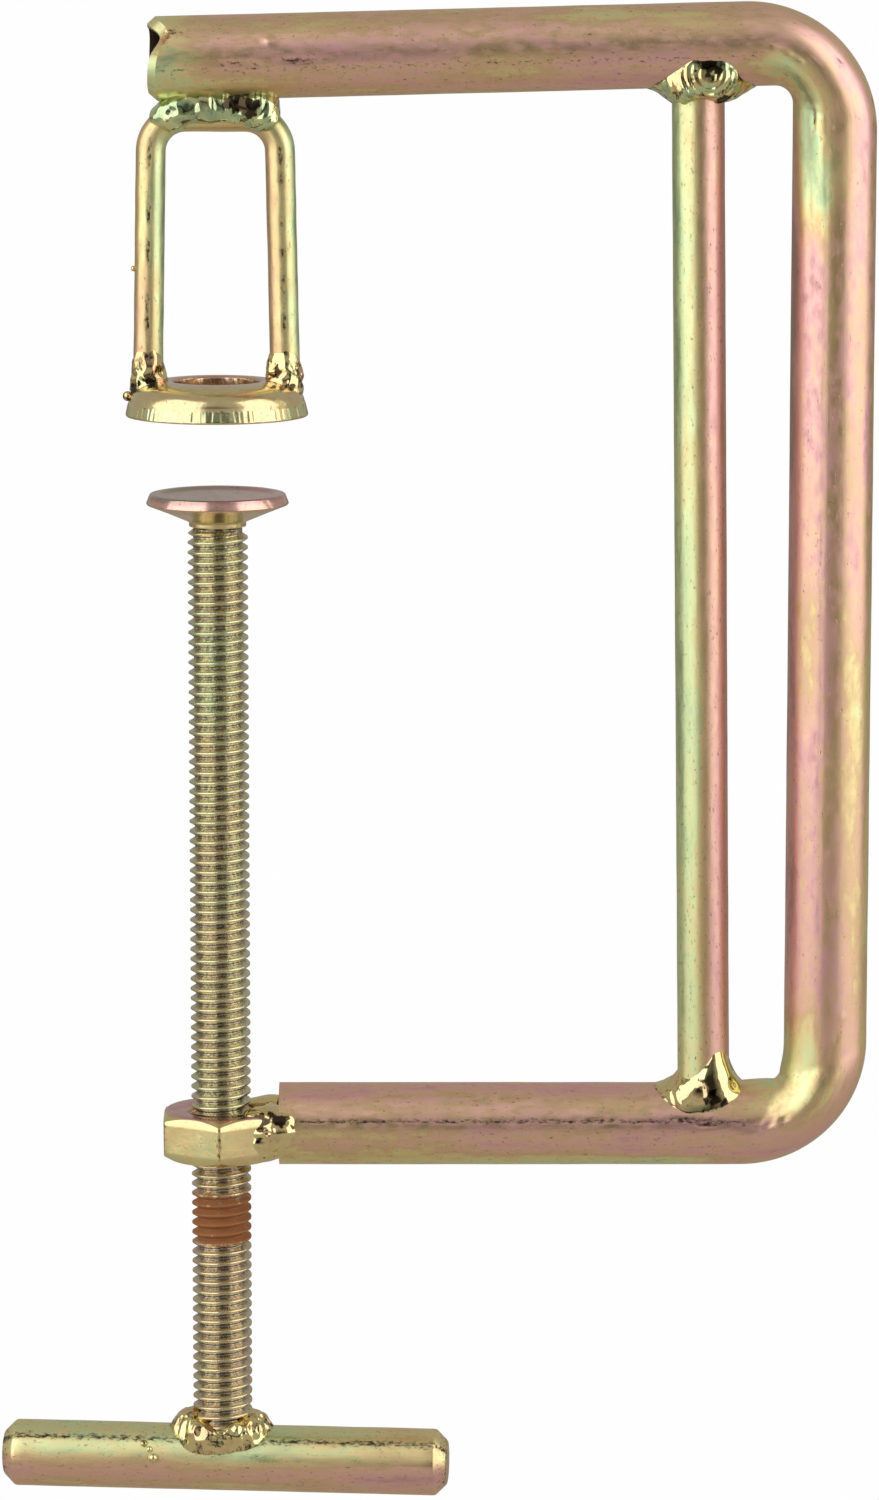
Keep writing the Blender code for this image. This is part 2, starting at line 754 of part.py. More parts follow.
def carried_by(name, group, pieces):
    """An empty on the screw's axis that carries the pieces of one moving body."""
    axis = bpy.data.objects.new(name, None)
    axis.empty_display_size = 0.01
    group.objects.link(axis)
    for piece in pieces:
        piece.parent = axis
    return axis


def main():
    clear_scene()
    group = new_collection("c_clamp")
    cutters = new_collection("cutters")
    spaces = make_spaces(cutters)

    make_frame_tube(group)
    make_brace(group, spaces["upper_arm"], spaces["lower_arm"])
    make_cage_yoke(group, spaces["ring"])
    make_jaw_ring(group, cutters)
    make_nut(group, cutters)
    disc = make_disc(group, cutters)
    screw = make_screw(group, cutters)
    bar = make_handle_bar(group)

    arm_spaces = spaces["lower_arm"], spaces["upper_arm"]
    make_brace_beads(group, arm_spaces, spaces["brace"])
    make_yoke_beads(group, spaces["upper_arm"], spaces["yoke"])
    make_leg_beads(group, spaces["ring"], spaces["yoke"])
    make_nut_beads(group, spaces["lower_arm"], spaces["nut"])
    bar_bead = make_bar_bead(group, spaces["bar"], spaces["screw"])

    travel = carried_by("screw_travel", group, [disc])
    turn = carried_by("screw_turn", group, [screw, bar, bar_bead])
    turn.parent = travel


main()
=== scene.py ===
"""Looks of the C clamp: a bent tube with a caged ring jaw, a threaded screw, a disc jaw and a cross bar.

Every piece is steel with a yellow-passivated zinc coat, welded before it was plated. The CAD model is the
frame: each piece here stands for one of its nodes, is made round the sizes read from that node, and rides
on its body. Everything is in metres, with +Z up the screw's axis and the ring jaw's foot at the origin.
"""

import math

import bmesh
import bpy
import numpy as np
from mathutils import Matrix, Vector, noise


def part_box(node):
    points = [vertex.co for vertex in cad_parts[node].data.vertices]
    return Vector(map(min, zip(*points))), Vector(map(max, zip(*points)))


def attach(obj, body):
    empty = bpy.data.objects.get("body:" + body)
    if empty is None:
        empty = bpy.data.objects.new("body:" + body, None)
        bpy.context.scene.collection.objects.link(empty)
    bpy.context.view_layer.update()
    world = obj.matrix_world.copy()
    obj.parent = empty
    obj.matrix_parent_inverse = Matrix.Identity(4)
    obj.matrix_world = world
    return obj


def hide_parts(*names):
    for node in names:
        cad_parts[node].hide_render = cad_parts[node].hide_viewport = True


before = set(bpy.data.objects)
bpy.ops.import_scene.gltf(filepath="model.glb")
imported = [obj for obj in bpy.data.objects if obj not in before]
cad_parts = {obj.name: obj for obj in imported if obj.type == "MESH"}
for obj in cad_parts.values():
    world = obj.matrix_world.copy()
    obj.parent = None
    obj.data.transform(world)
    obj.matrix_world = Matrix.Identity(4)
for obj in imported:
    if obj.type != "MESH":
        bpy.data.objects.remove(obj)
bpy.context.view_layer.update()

MM = 0.001

# Sizes read from the CAD model
TUBE_LOW, TUBE_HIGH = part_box("frame_tube")
YOKE_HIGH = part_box("cage_yoke")[1]
RING_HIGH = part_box("jaw_ring")[1]
NUT_LOW, NUT_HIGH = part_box("spindle_nut")
DISC_LOW, DISC_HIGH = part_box("pressure_disc")
SCREW_LOW, SCREW_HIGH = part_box("spindle_screw")
BAR_LOW, BAR_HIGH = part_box("handle_bar")

# Frame tube
TUBE_R = 6.55 * MM
TUBE_WALL = 1.6 * MM
ARM_DROOP = math.radians(1.45)
UPPER_BEND = (20.1 * MM, 2.8 * MM)  # radius along the outside and along the inside
LOWER_BEND = (20.2 * MM, 1.8 * MM)
BEND_BULGE = 0.6 * MM
REACH = TUBE_HIGH.x - TUBE_R
UPPER_OVERHANG = 10.3 * MM
END_CHAMFER = 1.25 * MM
RINGS_CUT = 5  # the skin's rings that the cut end takes the place of
LOWER_ARM_Z = TUBE_LOW.z + TUBE_R
LOWER_END_X = NUT_HIGH.x + 0.3 * MM
UPPER_ARM_Z = YOKE_HIGH.z + 0.3 * MM + TUBE_R / math.cos(ARM_DROOP)  # on the screw's axis

# Brace
BRACE_R = 4.1 * MM
BRACE_TOP_X = 74.9 * MM
BRACE_BOTTOM_X = 77.0 * MM

# Cage
YOKE_R = 2.325 * MM
YOKE_TOP_HALF = 9.95 * MM
YOKE_BOTTOM_HALF = 10.8 * MM
YOKE_CORNER_R = 5.4 * MM
CROWN_Z = YOKE_HIGH.z - YOKE_R
RING_R = RING_HIGH.x
RING_HOLE_R = 6.95 * MM
RING_TOP = RING_HIGH.z
RING_BAND = 2.15 * MM
RING_LIP_R = 8.2 * MM
RING_SEAT_R = 11.8 * MM
RING_SEAT_DEPTH = 1.5 * MM

# Screw, nut, disc and cross bar
SCREW_R = 4.75 * MM
PITCH = 1.5875 * MM
THREAD_DEPTH = 0.9 * MM
SCREW_TOP = DISC_LOW.z - 0.3 * MM
NUT_ACROSS = NUT_HIGH.x * 2
NUT_CHAMFER = math.radians(30)
NUT_FACE_R = 0.955 * NUT_ACROSS / 2
NUT_CORNER_R = NUT_ACROSS / 2 * 1.15
DISC_R = DISC_HIGH.x
DISC_TOP_R = 10.4 * MM
DISC_EDGE = 1.75 * MM
DISC_CONE = 2.7 * MM
DISC_NECK_R = 4.5 * MM
BAR_R = 5.325 * MM
BAR_HALF = 35.9 * MM
BAR_OFFSET = 0.4 * MM
BAR_TURN = math.radians(-5)
BAR_Z = (BAR_LOW.z + BAR_HIGH.z) / 2

# Welds
LAP = 0.05 * MM  # how far a bead's foot stands off the piece that it lies on
BEAD_ROOT = 0.6 * MM  # how far a bead's hidden side sinks into the pieces that it joins

# Angles round a piece. On the tube, 0 is the outside of the C, and on an upright rod it is +X
FRONT = math.radians(90)
LEFT_FRONT = math.radians(130)
RIGHT_FRONT = math.radians(45)
SEAM = math.radians(105)  # the tube's own weld seam, just inside of the front
TO_FRONT = np.array([0, -1, 0])
UP = np.array([0, 0, 1])


# ---------------------------------------------------------------- camera, floor and light

CAMERA_LOOKS_DOWN = math.radians(9.3)
CAMERA_DISTANCE = 0.940
CAMERA_AIM = Vector((0.03484, 0, -0.05310))
CAMERA_LENS = 142.78  # for a 36 mm sensor along the picture's height
FLOOR_Z = -0.285  # clear of the cross bar when the screw is backed right out
WHITE = "#FEFEFE"  # the ground and the room, as the camera sees them
FLOOR_MIRRORED = "#C0BCB5"
ROOM_MIRRORED = "#AEABA5"
DOORWAY_MIRRORED = "#2C2A28"
PANEL_HEIGHT = 3.0
PANEL_RADIANCE = 1.34


def linear(hex_colour):
    """An sRGB hex colour as linear red, green, blue and alpha."""
    parts = [int(hex_colour[at : at + 2], 16) / 255 for at in (1, 3, 5)]
    return (*(c / 12.92 if c <= 0.04045 else ((c + 0.055) / 1.055) ** 2.4 for c in parts), 1.0)


def add(tree, kind, inputs=None, **settings):
    """Adds a node: its settings, then its inputs, each a plain value or another node's output."""
    made = tree.nodes.new("ShaderNode" + kind)
    for name, value in settings.items():
        setattr(made, name, value)
    for name, value in (inputs or {}).items():
        if isinstance(value, bpy.types.NodeSocket):
            tree.links.new(value, made.inputs[name])
        else:
            made.inputs[name].default_value = value
    return made


def in_scene(name, data):
    """A new object in the scene, with that data."""
    obj = bpy.data.objects.new(name, data)
    bpy.context.scene.collection.objects.link(obj)
    return obj


def make_camera():
    camera = in_scene("camera", bpy.data.cameras.new("camera"))
    back = Vector((0, -math.cos(CAMERA_LOOKS_DOWN), math.sin(CAMERA_LOOKS_DOWN)))
    camera.location = CAMERA_AIM + CAMERA_DISTANCE * back
    camera.rotation_euler = (math.pi / 2 - CAMERA_LOOKS_DOWN, 0, 0)
    camera.data.sensor_width = 36
    camera.data.lens = CAMERA_LENS
    bpy.context.scene.camera = camera
    bpy.context.scene.view_settings.view_transform = "Standard"


def make_floor():
    """A plain pale floor, well below the clamp, which is held up by what it grips."""
    bm = bmesh.new()
    bmesh.ops.create_circle(bm, cap_ends=True, segments=96, radius=30)
    mesh = bpy.data.meshes.new("floor")
    bm.to_mesh(mesh)
    bm.free()
    floor = in_scene("floor", mesh)
    floor.location.z = FLOOR_Z
    paint = bpy.data.materials.new("white_floor")
    paint.use_nodes = True
    tree = paint.node_tree
    tree.nodes.clear()
    # Bright to the eye, but a softer grey where the metal mirrors it
    seen = add(tree, "Emission", {"Color": linear(WHITE), "Strength": 1.0})
    mirrored = add(tree, "BsdfDiffuse", {"Color": linear(FLOOR_MIRRORED)})
    eye = add(tree, "LightPath")
    both = add(tree, "MixShader", {"Fac": eye.outputs["Is Camera Ray"]})
    tree.links.new(mirrored.outputs[0], both.inputs[1])
    tree.links.new(seen.outputs[0], both.inputs[2])
    add(tree, "OutputMaterial", {"Surface": both.outputs[0]})
    mesh.materials.append(paint)


def make_world():
    """A pale room with a dark doorway behind the camera, which the glossy weld metal mirrors."""
    world = bpy.data.worlds.new("studio")
    bpy.context.scene.world = world
    world.use_nodes = True
    tree = world.node_tree
    tree.nodes.clear()
    direction = add(tree, "TexCoord")
    split = add(tree, "SeparateXYZ", {"Vector": direction.outputs["Generated"]})
    depth = add(tree, "MapRange", {"Value": split.outputs["Y"], "From Min": -0.97, "From Max": -0.80})
    room = add(tree, "ValToRGB", {"Fac": depth.outputs[0]})
    room.color_ramp.elements[0].color = linear(DOORWAY_MIRRORED)
    room.color_ramp.elements[1].color = linear(ROOM_MIRRORED)
    eye = add(tree, "LightPath")
    layers = {0: eye.outputs["Is Camera Ray"], 6: room.outputs[0], 7: linear(WHITE)}
    both = add(tree, "Mix", layers, data_type="RGBA")
    shine = add(tree, "Background", {"Color": both.outputs[2], "Strength": 1.0})
    add(tree, "OutputWorld", {"Surface": shine.outputs[0]})


def softbox(name, place, aim, width, height, radiance):
    """A soft light of that size, turned to its aim. Radiance is its brightness as the metal mirrors it."""
    light = bpy.data.lights.new(name, "AREA")
    light.shape = "RECTANGLE"
    light.size, light.size_y = width, height
    light.energy = radiance * math.pi * width * height
    lamp = in_scene(name, light)
    lamp.location = place
    lamp.rotation_euler = (Vector(place) - Vector(aim)).to_track_quat("Z", "Y").to_euler()


def make_lights():
    """Two tall soft panels at the sides and a softer one above, with the room left darker between them."""
    middle = Vector((0.04, 0, -0.06))
    raised = middle + Vector((0, 0, 0.4))
    for name, side, width in (("left_panel", -55, 1.4), ("right_panel", 70, 1.35)):
        turn = math.radians(side)
        place = raised + Vector((math.sin(turn), -math.cos(turn), 0))
        softbox(name, place, raised, width, PANEL_HEIGHT, PANEL_RADIANCE)
    softbox("top_panel", (0.04, -1.02, 0.36), middle, 1.2, 0.5, 0.07)


# ---------------------------------------------------------------- mesh tools


def near(value, centre, width):
    """1 at the centre, falling smoothly to 0 a few widths away."""
    return np.exp(-(((value - centre) / width) ** 2))


def angle_from(angle, centre):
    """The shortest turn from the centre to each angle."""
    return (angle - centre + math.pi) % math.tau - math.pi


def ramp(value, low, high):
    """0 up to low, 1 past high, and smooth between."""
    share = np.clip((value - low) / (high - low), 0, 1)
    return share * share * (3 - 2 * share)


def wander(points, size, seed=0):
    """Smooth noise from about -1 to 1 at each point, with lumps of that size."""
    shape = points.shape[:-1]
    offset = Vector((seed * 17.3, seed * 5.1, seed * 9.7))
    flat = points.reshape(-1, 3) / size
    values = [noise.noise(Vector(point) + offset) for point in flat]
    return np.array(values).reshape(shape)


def round_angles(sides):
    """Even turns round a ring of that many sides."""
    return np.arange(sides) * math.tau / sides


def distances(line):
    """How far along the line each of its points lies."""
    return np.concatenate([[0], np.cumsum(np.linalg.norm(np.diff(line, axis=0), axis=1))])


def round_grain(radius, angle, along):
    """Places on a cylinder of that radius, which the finish reads as the grain along a tube or rod."""
    return np.stack([radius * np.cos(angle), radius * np.sin(angle), along], axis=-1)


def drift_along(along, size, seed):
    """Smooth noise that changes only along a piece."""
    return wander(np.stack([0 * along, 0 * along, along], axis=-1), size, seed)


def ring_faces(count, sides, shift=0, loop=False):
    """Faces between rings of corners.

    shift joins each ring's last side to a ring further up, as a thread needs. loop joins the last ring to the
    first.
    """
    faces = []
    for ring in range(count if loop else count - 1):
        above = (ring + 1) % count
        for side in range(sides):
            after, low, high = side + 1, ring, above
            if after == sides:
                after, low, high = 0, ring + shift, above + shift
                if high >= count and not loop:
                    continue
            corners = (ring, side), (low, after), (high, after), (above, side)
            faces.append(tuple(row * sides + column for row, column in corners))
    return faces


def caps(count, sides):
    """Flat faces that close the first and the last ring."""
    return [tuple(ring * sides + side for side in range(sides)) for ring in (0, count - 1)]


def add_layers(mesh, layers):
    """Gives the mesh named sets of three numbers for each corner."""
    for layer, values in layers.items():
        made = mesh.attributes.new(layer, "FLOAT_VECTOR", "POINT")
        made.data.foreach_set("vector", np.asarray(values, dtype=np.float32).ravel())


def corner_places(mesh, what="co"):
    """The mesh's corners, or its normals there, as rows of x, y and z."""
    values = np.empty(len(mesh.vertices) * 3, dtype=np.float32)
    mesh.vertices.foreach_get(what, values)
    return values.reshape(-1, 3).astype(float)


def mesh_piece(name, points, faces, grain, marks):
    """A mesh object from corners and faces. grain and marks are what the finish reads at each corner."""
    mesh = bpy.data.meshes.new(name)
    mesh.from_pydata(points.reshape(-1, 3).tolist(), [], faces)
    add_layers(mesh, {"grain": grain, "coat": marks})
    return in_scene(name, mesh)


def tidy_skin(obj, sharp):
    """Turns every face outwards and shades it smooth, apart from edges sharper than that many degrees."""
    bm = bmesh.new()
    bm.from_mesh(obj.data)
    bmesh.ops.recalc_face_normals(bm, faces=bm.faces)
    bm.to_mesh(obj.data)
    bm.free()
    obj.data.shade_smooth()
    obj.data.set_sharp_from_angle(angle=math.radians(sharp))


def stands_for(obj, node, body, finish):
    """Gives the piece its finish, and puts it in its node's place on that node's body."""
    obj.data.materials.append(finish)
    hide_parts(node)
    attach(obj, body)


def ringed_piece(node, body, finish, points, grain, marks, loop=False, sharp=40, lay=None):
    """A whole piece from rings of corners, looped back on itself or closed by a flat face at each end.

    sharp is the angle in degrees past which an edge isn't shaded smooth. lay is where the piece is moved to.
    """
    count, sides = points.shape[:2]
    faces = ring_faces(count, sides, loop=loop) + ([] if loop else caps(count, sides))
    obj = mesh_piece(node + "_skin", points, faces, grain, marks)
    if lay:
        obj.data.transform(lay)
    tidy_skin(obj, sharp)
    stands_for(obj, node, body, finish)


def coat(shape, film, dirt_and_shade=0.0, rust=0.0):
    """The coat at each corner: film picks its tint, the second number its dark marks, which are dirt as well
    as painted shade and painted dark reflections, and rust its brown spots.
    """
    parts = [np.broadcast_to(part, shape) for part in (film, dirt_and_shade, rust)]
    return np.stack(parts, axis=-1)


# ---------------------------------------------------------------- finishes

# Tints that the passivation takes as it thickens, along one scale from 0 to 1
FILM = (
    (0.00, "#B4C79C"),
    (0.12, "#D8E4AE"),
    (0.28, "#E9D69C"),
    (0.44, "#DCBB92"),
    (0.58, "#E9BEA6"),
    (0.72, "#E6B3B0"),
    (0.86, "#C99A94"),
    (1.00, "#A9A58A"),
)
# The dark of dirt, used as well for painted shade and painted dark reflections
DARK_DIRT_AND_SHADE = "#4A4030"
BARE_ZINC = "#BDBBB2"
RUST = "#A0683C"


def yellow_zinc(
    name,
    roughness,
    streak=(2.5, 45),
    streak_drift=0.10,
    mottle=(0.9, 3.0),
    mottle_drift=0.08,
    line_depth=0.010,
    pit_depth=0.02,
    bare=0.0,
    rusts=False,
    metallic=1.0,
):
    """Steel with a bright zinc coat, passivated yellow. Its clear film tints the metal like oil on water.

    streak and mottle are the widths and lengths, in mm, of the tint's streaks and blotches along the grain.
    bare is how much of the grey zinc shows where the film has worn thin.
    """
    metal = bpy.data.materials.new(name)
    metal.use_nodes = True
    tree = metal.node_tree
    shader = tree.nodes["Principled BSDF"]
    grain = add(tree, "Attribute", attribute_name="grain").outputs["Vector"]
    marks = add(tree, "Attribute", attribute_name="coat").outputs["Vector"]
    film, dirt_and_shade, rust = add(tree, "SeparateXYZ", {"Vector": marks}).outputs

    def pattern(across, along, detail, rough=0.5):
        """Noise drawn out along the grain, from 0 to 1. Sizes are in mm."""
        stretch = (1 / (across * MM), 1 / (across * MM), 1 / (along * MM))
        scaled = add(tree, "VectorMath", {0: grain, 1: stretch}, operation="MULTIPLY").outputs[0]
        settings = {"Vector": scaled, "Scale": 1.0, "Detail": detail, "Roughness": rough}
        return add(tree, "TexNoise", settings).outputs[0]

    def plus(value, factor, base):
        """The base plus the value times the factor."""
        return add(tree, "Math", {0: value, 1: factor, 2: base}, operation="MULTIPLY_ADD").outputs[0]

    def carried(value, low, high, to_low=0.0, to_high=1.0):
        """The value carried from the range low to high onto the other range, and held inside it."""
        ends = {"From Min": low, "From Max": high, "To Min": to_low, "To Max": to_high}
        return add(tree, "MapRange", {"Value": value, **ends}).outputs[0]

    def over(share, under, colour):
        """That share of the colour over what lies under it."""
        layers = {0: share, 6: under, 7: linear(colour)}
        return add(tree, "Mix", layers, data_type="RGBA").outputs[2]

    streaks = pattern(*streak, 2.0)
    blotches = pattern(*mottle, 3.0, 0.6)
    specks = pattern(0.45, 0.9, 3.0, 0.65)
    lines = pattern(0.18, 14, 2.0)

    drift = plus(blotches, 2 * mottle_drift, plus(streaks, 2 * streak_drift, film))
    tint = add(tree, "ValToRGB", {"Fac": plus(drift, 1.0, -streak_drift - mottle_drift)})
    stops = tint.color_ramp.elements
    while len(stops) < len(FILM):
        stops.new(0.5)
    for stop, (place, colour) in zip(stops, FILM):
        stop.position = place
        stop.color = linear(colour)

    # Dark specks and stains where dirt has lodged, and the painted shade and painted dark reflections that
    # the coat asks for, all in one dark colour
    dirt = carried(plus(dirt_and_shade, 0.5, specks), 0.66, 0.88)
    colour = over(dirt, tint.outputs[0], DARK_DIRT_AND_SHADE)
    if bare:
        colour = over(bare, colour, BARE_ZINC)
    gloss = carried(blotches, 0.3, 0.7, roughness * 0.8, roughness * 1.25)
    shader.inputs["Metallic"].default_value = metallic
    if rusts:
        crumbs = add(tree, "Math", {0: rust, 1: pattern(1.1, 1.1, 4.0, 0.7)}, operation="ADD").outputs[0]
        scab = carried(crumbs, 0.95, 1.15)
        colour = over(scab, colour, RUST)
        gloss = plus(scab, 0.35, gloss)
        tree.links.new(carried(scab, 0.0, 1.0, metallic, 0.35), shader.inputs["Metallic"])
    tree.links.new(colour, shader.inputs["Base Color"])
    tree.links.new(gloss, shader.inputs["Roughness"])

    pits = carried(specks, 0.62, 0.75)
    height = plus(blotches, pit_depth, plus(pits, -pit_depth, plus(lines, line_depth, 0.0)))
    relief = add(tree, "Bump", {"Height": height, "Distance": MM, "Strength": 1.0})
    tree.links.new(relief.outputs[0], shader.inputs["Normal"])
    return metal


# ---------------------------------------------------------------- frame tube


def upper_arm_point(x):
    """A point on the upper arm's middle line, which droops towards its open end."""
    return Vector((x, 0, UPPER_ARM_Z + x * math.tan(ARM_DROOP)))


def bend_stations(corner, first, second, radius, bend, shrink, steps):
    """Stations round a bend whose outside and inside follow arcs of their own, as a flattened tube's do."""
    outer_r, inner_r = bend[0] - shrink, bend[1] + shrink
    turn = first.angle(second)
    normals = [Vector((-d.z, 0, d.x)) for d in (first, second)]
    bisector = (normals[0] + normals[1]).normalized()
    to_corner = 1 / math.cos(turn / 2)
    outer_centre = corner + bisector * (radius - outer_r) * to_corner
    inner_centre = corner - bisector * (radius + inner_r) * to_corner
    for step in range(steps + 1):
        share = step / steps
        normal = normals[0].copy()
        normal.rotate(Matrix.Rotation(turn * share, 3, "Y"))
        outside = outer_centre + normal * outer_r
        inside = inner_centre + normal * inner_r
        bulge = radius + BEND_BULGE * math.sin(math.pi * share)
        yield (outside + inside) / 2, (outside - inside) / 2, bulge


def tube_stations(shrink, spacing, bend_steps):
    """Along the tube, from the upper arm's open end to the nut.

    Each is the middle, the half width in the C's plane as a vector, and the half width across that plane.
    """
    radius = TUBE_R - shrink
    rise = Vector((math.cos(ARM_DROOP), 0, math.sin(ARM_DROOP)))
    down, back = Vector((0, 0, -1)), Vector((-1, 0, 0))
    start = upper_arm_point(-UPPER_OVERHANG)
    end = Vector((LOWER_END_X, 0, LOWER_ARM_Z))
    normal = Vector((-rise.z, 0, rise.x))
    upper = bend_stations(upper_arm_point(REACH), rise, down, radius, UPPER_BEND, shrink, bend_steps)
    lower_corner = Vector((REACH, 0, LOWER_ARM_Z))
    lower = bend_stations(lower_corner, down, back, radius, LOWER_BEND, shrink, bend_steps)
    keys = [(start, normal * radius, radius), *upper, *lower, (end, down * radius, radius)]
    stations = []
    for (m0, h0, a0), (m1, h1, a1) in zip(keys, keys[1:]):
        steps = max(1, round((m1 - m0).length / spacing))
        for step in range(steps):
            share = step / steps
            stations.append((m0.lerp(m1, share), h0.lerp(h1, share), a0 + (a1 - a0) * share))
    return stations + [keys[-1]]


def tube_skin(shrink, spacing, bend_steps, sides):
    """Corners of the skin, with the outward direction, angle and distance along the tube at each."""
    stations = tube_stations(shrink, spacing, bend_steps)
    middle, half = (np.array([station[at] for station in stations])[:, None, :] for at in (0, 1))
    across = np.array([station[2] for station in stations])[:, None, None]
    angle = round_angles(sides)
    cos, sin = np.cos(angle)[:, None], np.sin(angle)[:, None]
    outward = half / np.linalg.norm(half, axis=-1, keepdims=True) * cos + TO_FRONT * sin
    points = middle + half * cos + TO_FRONT * across * sin
    angle, along = np.meshgrid(angle, distances(middle[:, 0]))
    return points, outward, angle, along


# Knocks and gouges in the tube: x and z of the place on its line in mm, angle, half length along and half
# width round in mm, depth in mm (less than 0 for a lump), and how dark the dirt in it is
TUBE_MARKS = (
    (-7.5, 56, 52, 0.7, 0.8, 0.12, 0.3),
    (-6.4, 56, 50, 1.3, 0.7, 0.08, 0.8),
    (3.7, 56, 96, 3.2, 0.40, 0.18, 0.55),
    (6.6, 56, 98, 1.0, 0.25, 0.08, 0.5),
    (8.9, 56, 68, 0.7, 0.6, -0.28, 0.0),
    (13.0, 56, 95, 2.8, 0.55, 0.26, 0.65),
    (17.5, 56, 92, 1.2, 0.25, 0.06, 0.5),
    (31, 56, 70, 0.5, 0.4, 0.06, 0.4),
    (44, 57, 104, 2.0, 0.25, 0.06, 0.5),
    (58, 57, 84, 0.7, 0.5, 0.07, 0.4),
    (64, 57, 99, 1.5, 0.30, 0.08, 0.4),
    (82.4, 57, 24, 0.4, 0.35, 0.12, 0.8),
    (86.0, 57, 92, 0.9, 0.35, 0.14, 0.5),
    (88.4, 57, 95, 0.7, 0.40, 0.16, 0.6),
    (91.0, 57, 98, 0.9, 0.40, 0.14, 0.4),
    (95, 54, 55, 1.0, 0.40, 0.12, 0.5),
    (96, 49, 126, 0.9, 0.90, 0.12, 0.2),
    (96, 49, 126, 0.45, 0.45, -0.10, 0.0),
    (96, 45, 124, 1.5, 0.40, 0.22, 0.7),
    (96, 43, 112, 0.6, 0.35, 0.10, 0.4),
    (96, 49, 15, 0.6, 0.35, 0.30, 0.9),
    (96, 46.2, 14, 0.4, 0.30, 0.22, 0.8),
    (96, 31.5, 129, 4.0, 0.45, 0.10, 0.0),
    (96, 20, 113, 0.4, 0.25, 0.08, 0.8),
    (96, 6, 115, 0.3, 0.25, 0.08, 0.8),
    (96, -12, 111, 0.5, 0.22, 0.06, 0.6),
    (96, -48, 68, 0.5, 0.25, 0.05, 0.5),
    (96, -66, 114, 0.6, 0.22, 0.06, 0.6),
    (96, -96, 70, 0.6, 0.4, -0.10, 0.0),
    (96, -99, 78, 0.5, 0.4, 0.10, 0.3),
    (97, -105, 92, 0.7, 0.5, 0.10, 0.3),
    (90.0, -113, 102, 0.7, 0.4, 0.14, 0.4),
    (88.2, -113, 106, 0.5, 0.4, -0.10, 0.0),
    (86.6, -113, 100, 0.9, 0.4, 0.16, 0.5),
    (84.6, -113, 104, 0.7, 0.4, 0.14, 0.4),
    (82.6, -113, 99, 0.8, 0.4, 0.16, 0.5),
    (84.0, -113, 93, 1.0, 0.4, 0.10, 0.2),
    (76.8, -113, 100, 2.4, 0.30, 0.22, 0.9),
    (72.6, -113, 108, 2.2, 0.28, 0.16, 0.9),
    (66, -113, 104, 1.6, 0.25, 0.10, 0.6),
    (60, -113, 106, 2.4, 0.25, 0.12, 0.7),
    (53, -113, 104, 1.8, 0.22, 0.08, 0.6),
    (38, -113, 105, 2.5, 0.20, 0.06, 0.5),
    (25, -113, 103, 2.0, 0.20, 0.05, 0.4),
)


def tube_marks(points, angle, along):
    """How deep the marks are at each corner, and how dark."""
    middle = points.mean(axis=1)
    depth, dark = np.zeros(angle.shape), np.zeros(angle.shape)
    for x, z, turn, half_length, half_width, deep, dirt in TUBE_MARKS:
        row = np.hypot(middle[:, 0] - x * MM, middle[:, 2] - z * MM).argmin()
        aside = TUBE_R * angle_from(angle, math.radians(turn))
        share = near(along - along[row], 0, half_length * MM) * near(aside, 0, half_width * MM)
        depth += deep * MM * share
        dark = np.maximum(dark, dirt * share)
    return depth, dark


def shape_tube(points, outward, angle, along):
    """Pushes the tube's skin in and out where it was drawn, bent and knocked."""
    x, z = points[..., 0], points[..., 2]
    push = 0.03 * MM * wander(points, 9 * MM, 1)
    inner_corner = angle_from(angle, math.pi)
    front = angle_from(angle, FRONT)
    # the fold that the lower bend raises inside its corner
    fold = near(z, LOWER_ARM_Z + 8.0 * MM, 2.6 * MM) * near(x, REACH - 9.5 * MM, 5.5 * MM)
    push += 1.0 * MM * fold * near(inner_corner, 0, 0.9)
    # the crease along the upper bend's flattened side
    bend = ramp(x, REACH - 14 * MM, REACH - 6 * MM)
    bend = bend * ramp(z, UPPER_ARM_Z - 28 * MM, UPPER_ARM_Z - 6 * MM)
    push -= 0.22 * MM * bend * near(front, 0.75, 0.24)
    push += 0.25 * MM * bend * near(front, 0.45, 0.2)
    # a shallow groove, broken here and there, along the seam
    broken = 0.5 + 0.5 * wander(np.stack([along, 0 * along, 0 * along], axis=-1), 5 * MM, 3)
    push -= 0.05 * MM * broken * near(angle_from(angle, SEAM), 0, 0.035)
    push -= tube_marks(points, angle, along)[0]
    return points + outward * push[..., None]


def make_frame_tube(finish):
    sides = 128
    points, outward, angle, along = tube_skin(0, 0.6 * MM, 44, sides)
    points = shape_tube(points, outward, angle, along)
    bore, _, bore_angle, bore_along = tube_skin(TUBE_WALL, 5.0 * MM, 8, sides)
    # the open end: ground to a chamfer, and cut back at the top of its front
    notch = angle_from(angle[0], math.radians(50))
    cut_back = 2.1 * MM * near(notch, 0, 0.45) + 0.12 * MM * np.sin(3 * notch)
    arm = np.array([math.cos(ARM_DROOP), 0, math.sin(ARM_DROOP)])
    cut = arm * cut_back[:, None]
    rim = points[0] - 0.70 * TUBE_WALL * outward[0] + cut
    shoulder = points[0] + cut + arm * END_CHAMFER
    bore[0] += cut
    whole = slice(RINGS_CUT, None)
    skin = np.concatenate([rim[None], shoulder[None], points[whole], bore[::-1]])
    angles = np.concatenate([angle[:1], angle[:1], angle[whole], bore_angle[::-1]])
    alongs = np.concatenate([along[:2], along[whole], bore_along[::-1]])
    inside = np.zeros(angles.shape)
    inside[-len(bore) :] = 1
    marks = tube_coat(skin, angles, alongs, inside)
    grain = round_grain(TUBE_R, angles, alongs)
    ringed_piece("frame_tube", "frame", finish, skin, grain, marks, loop=True)


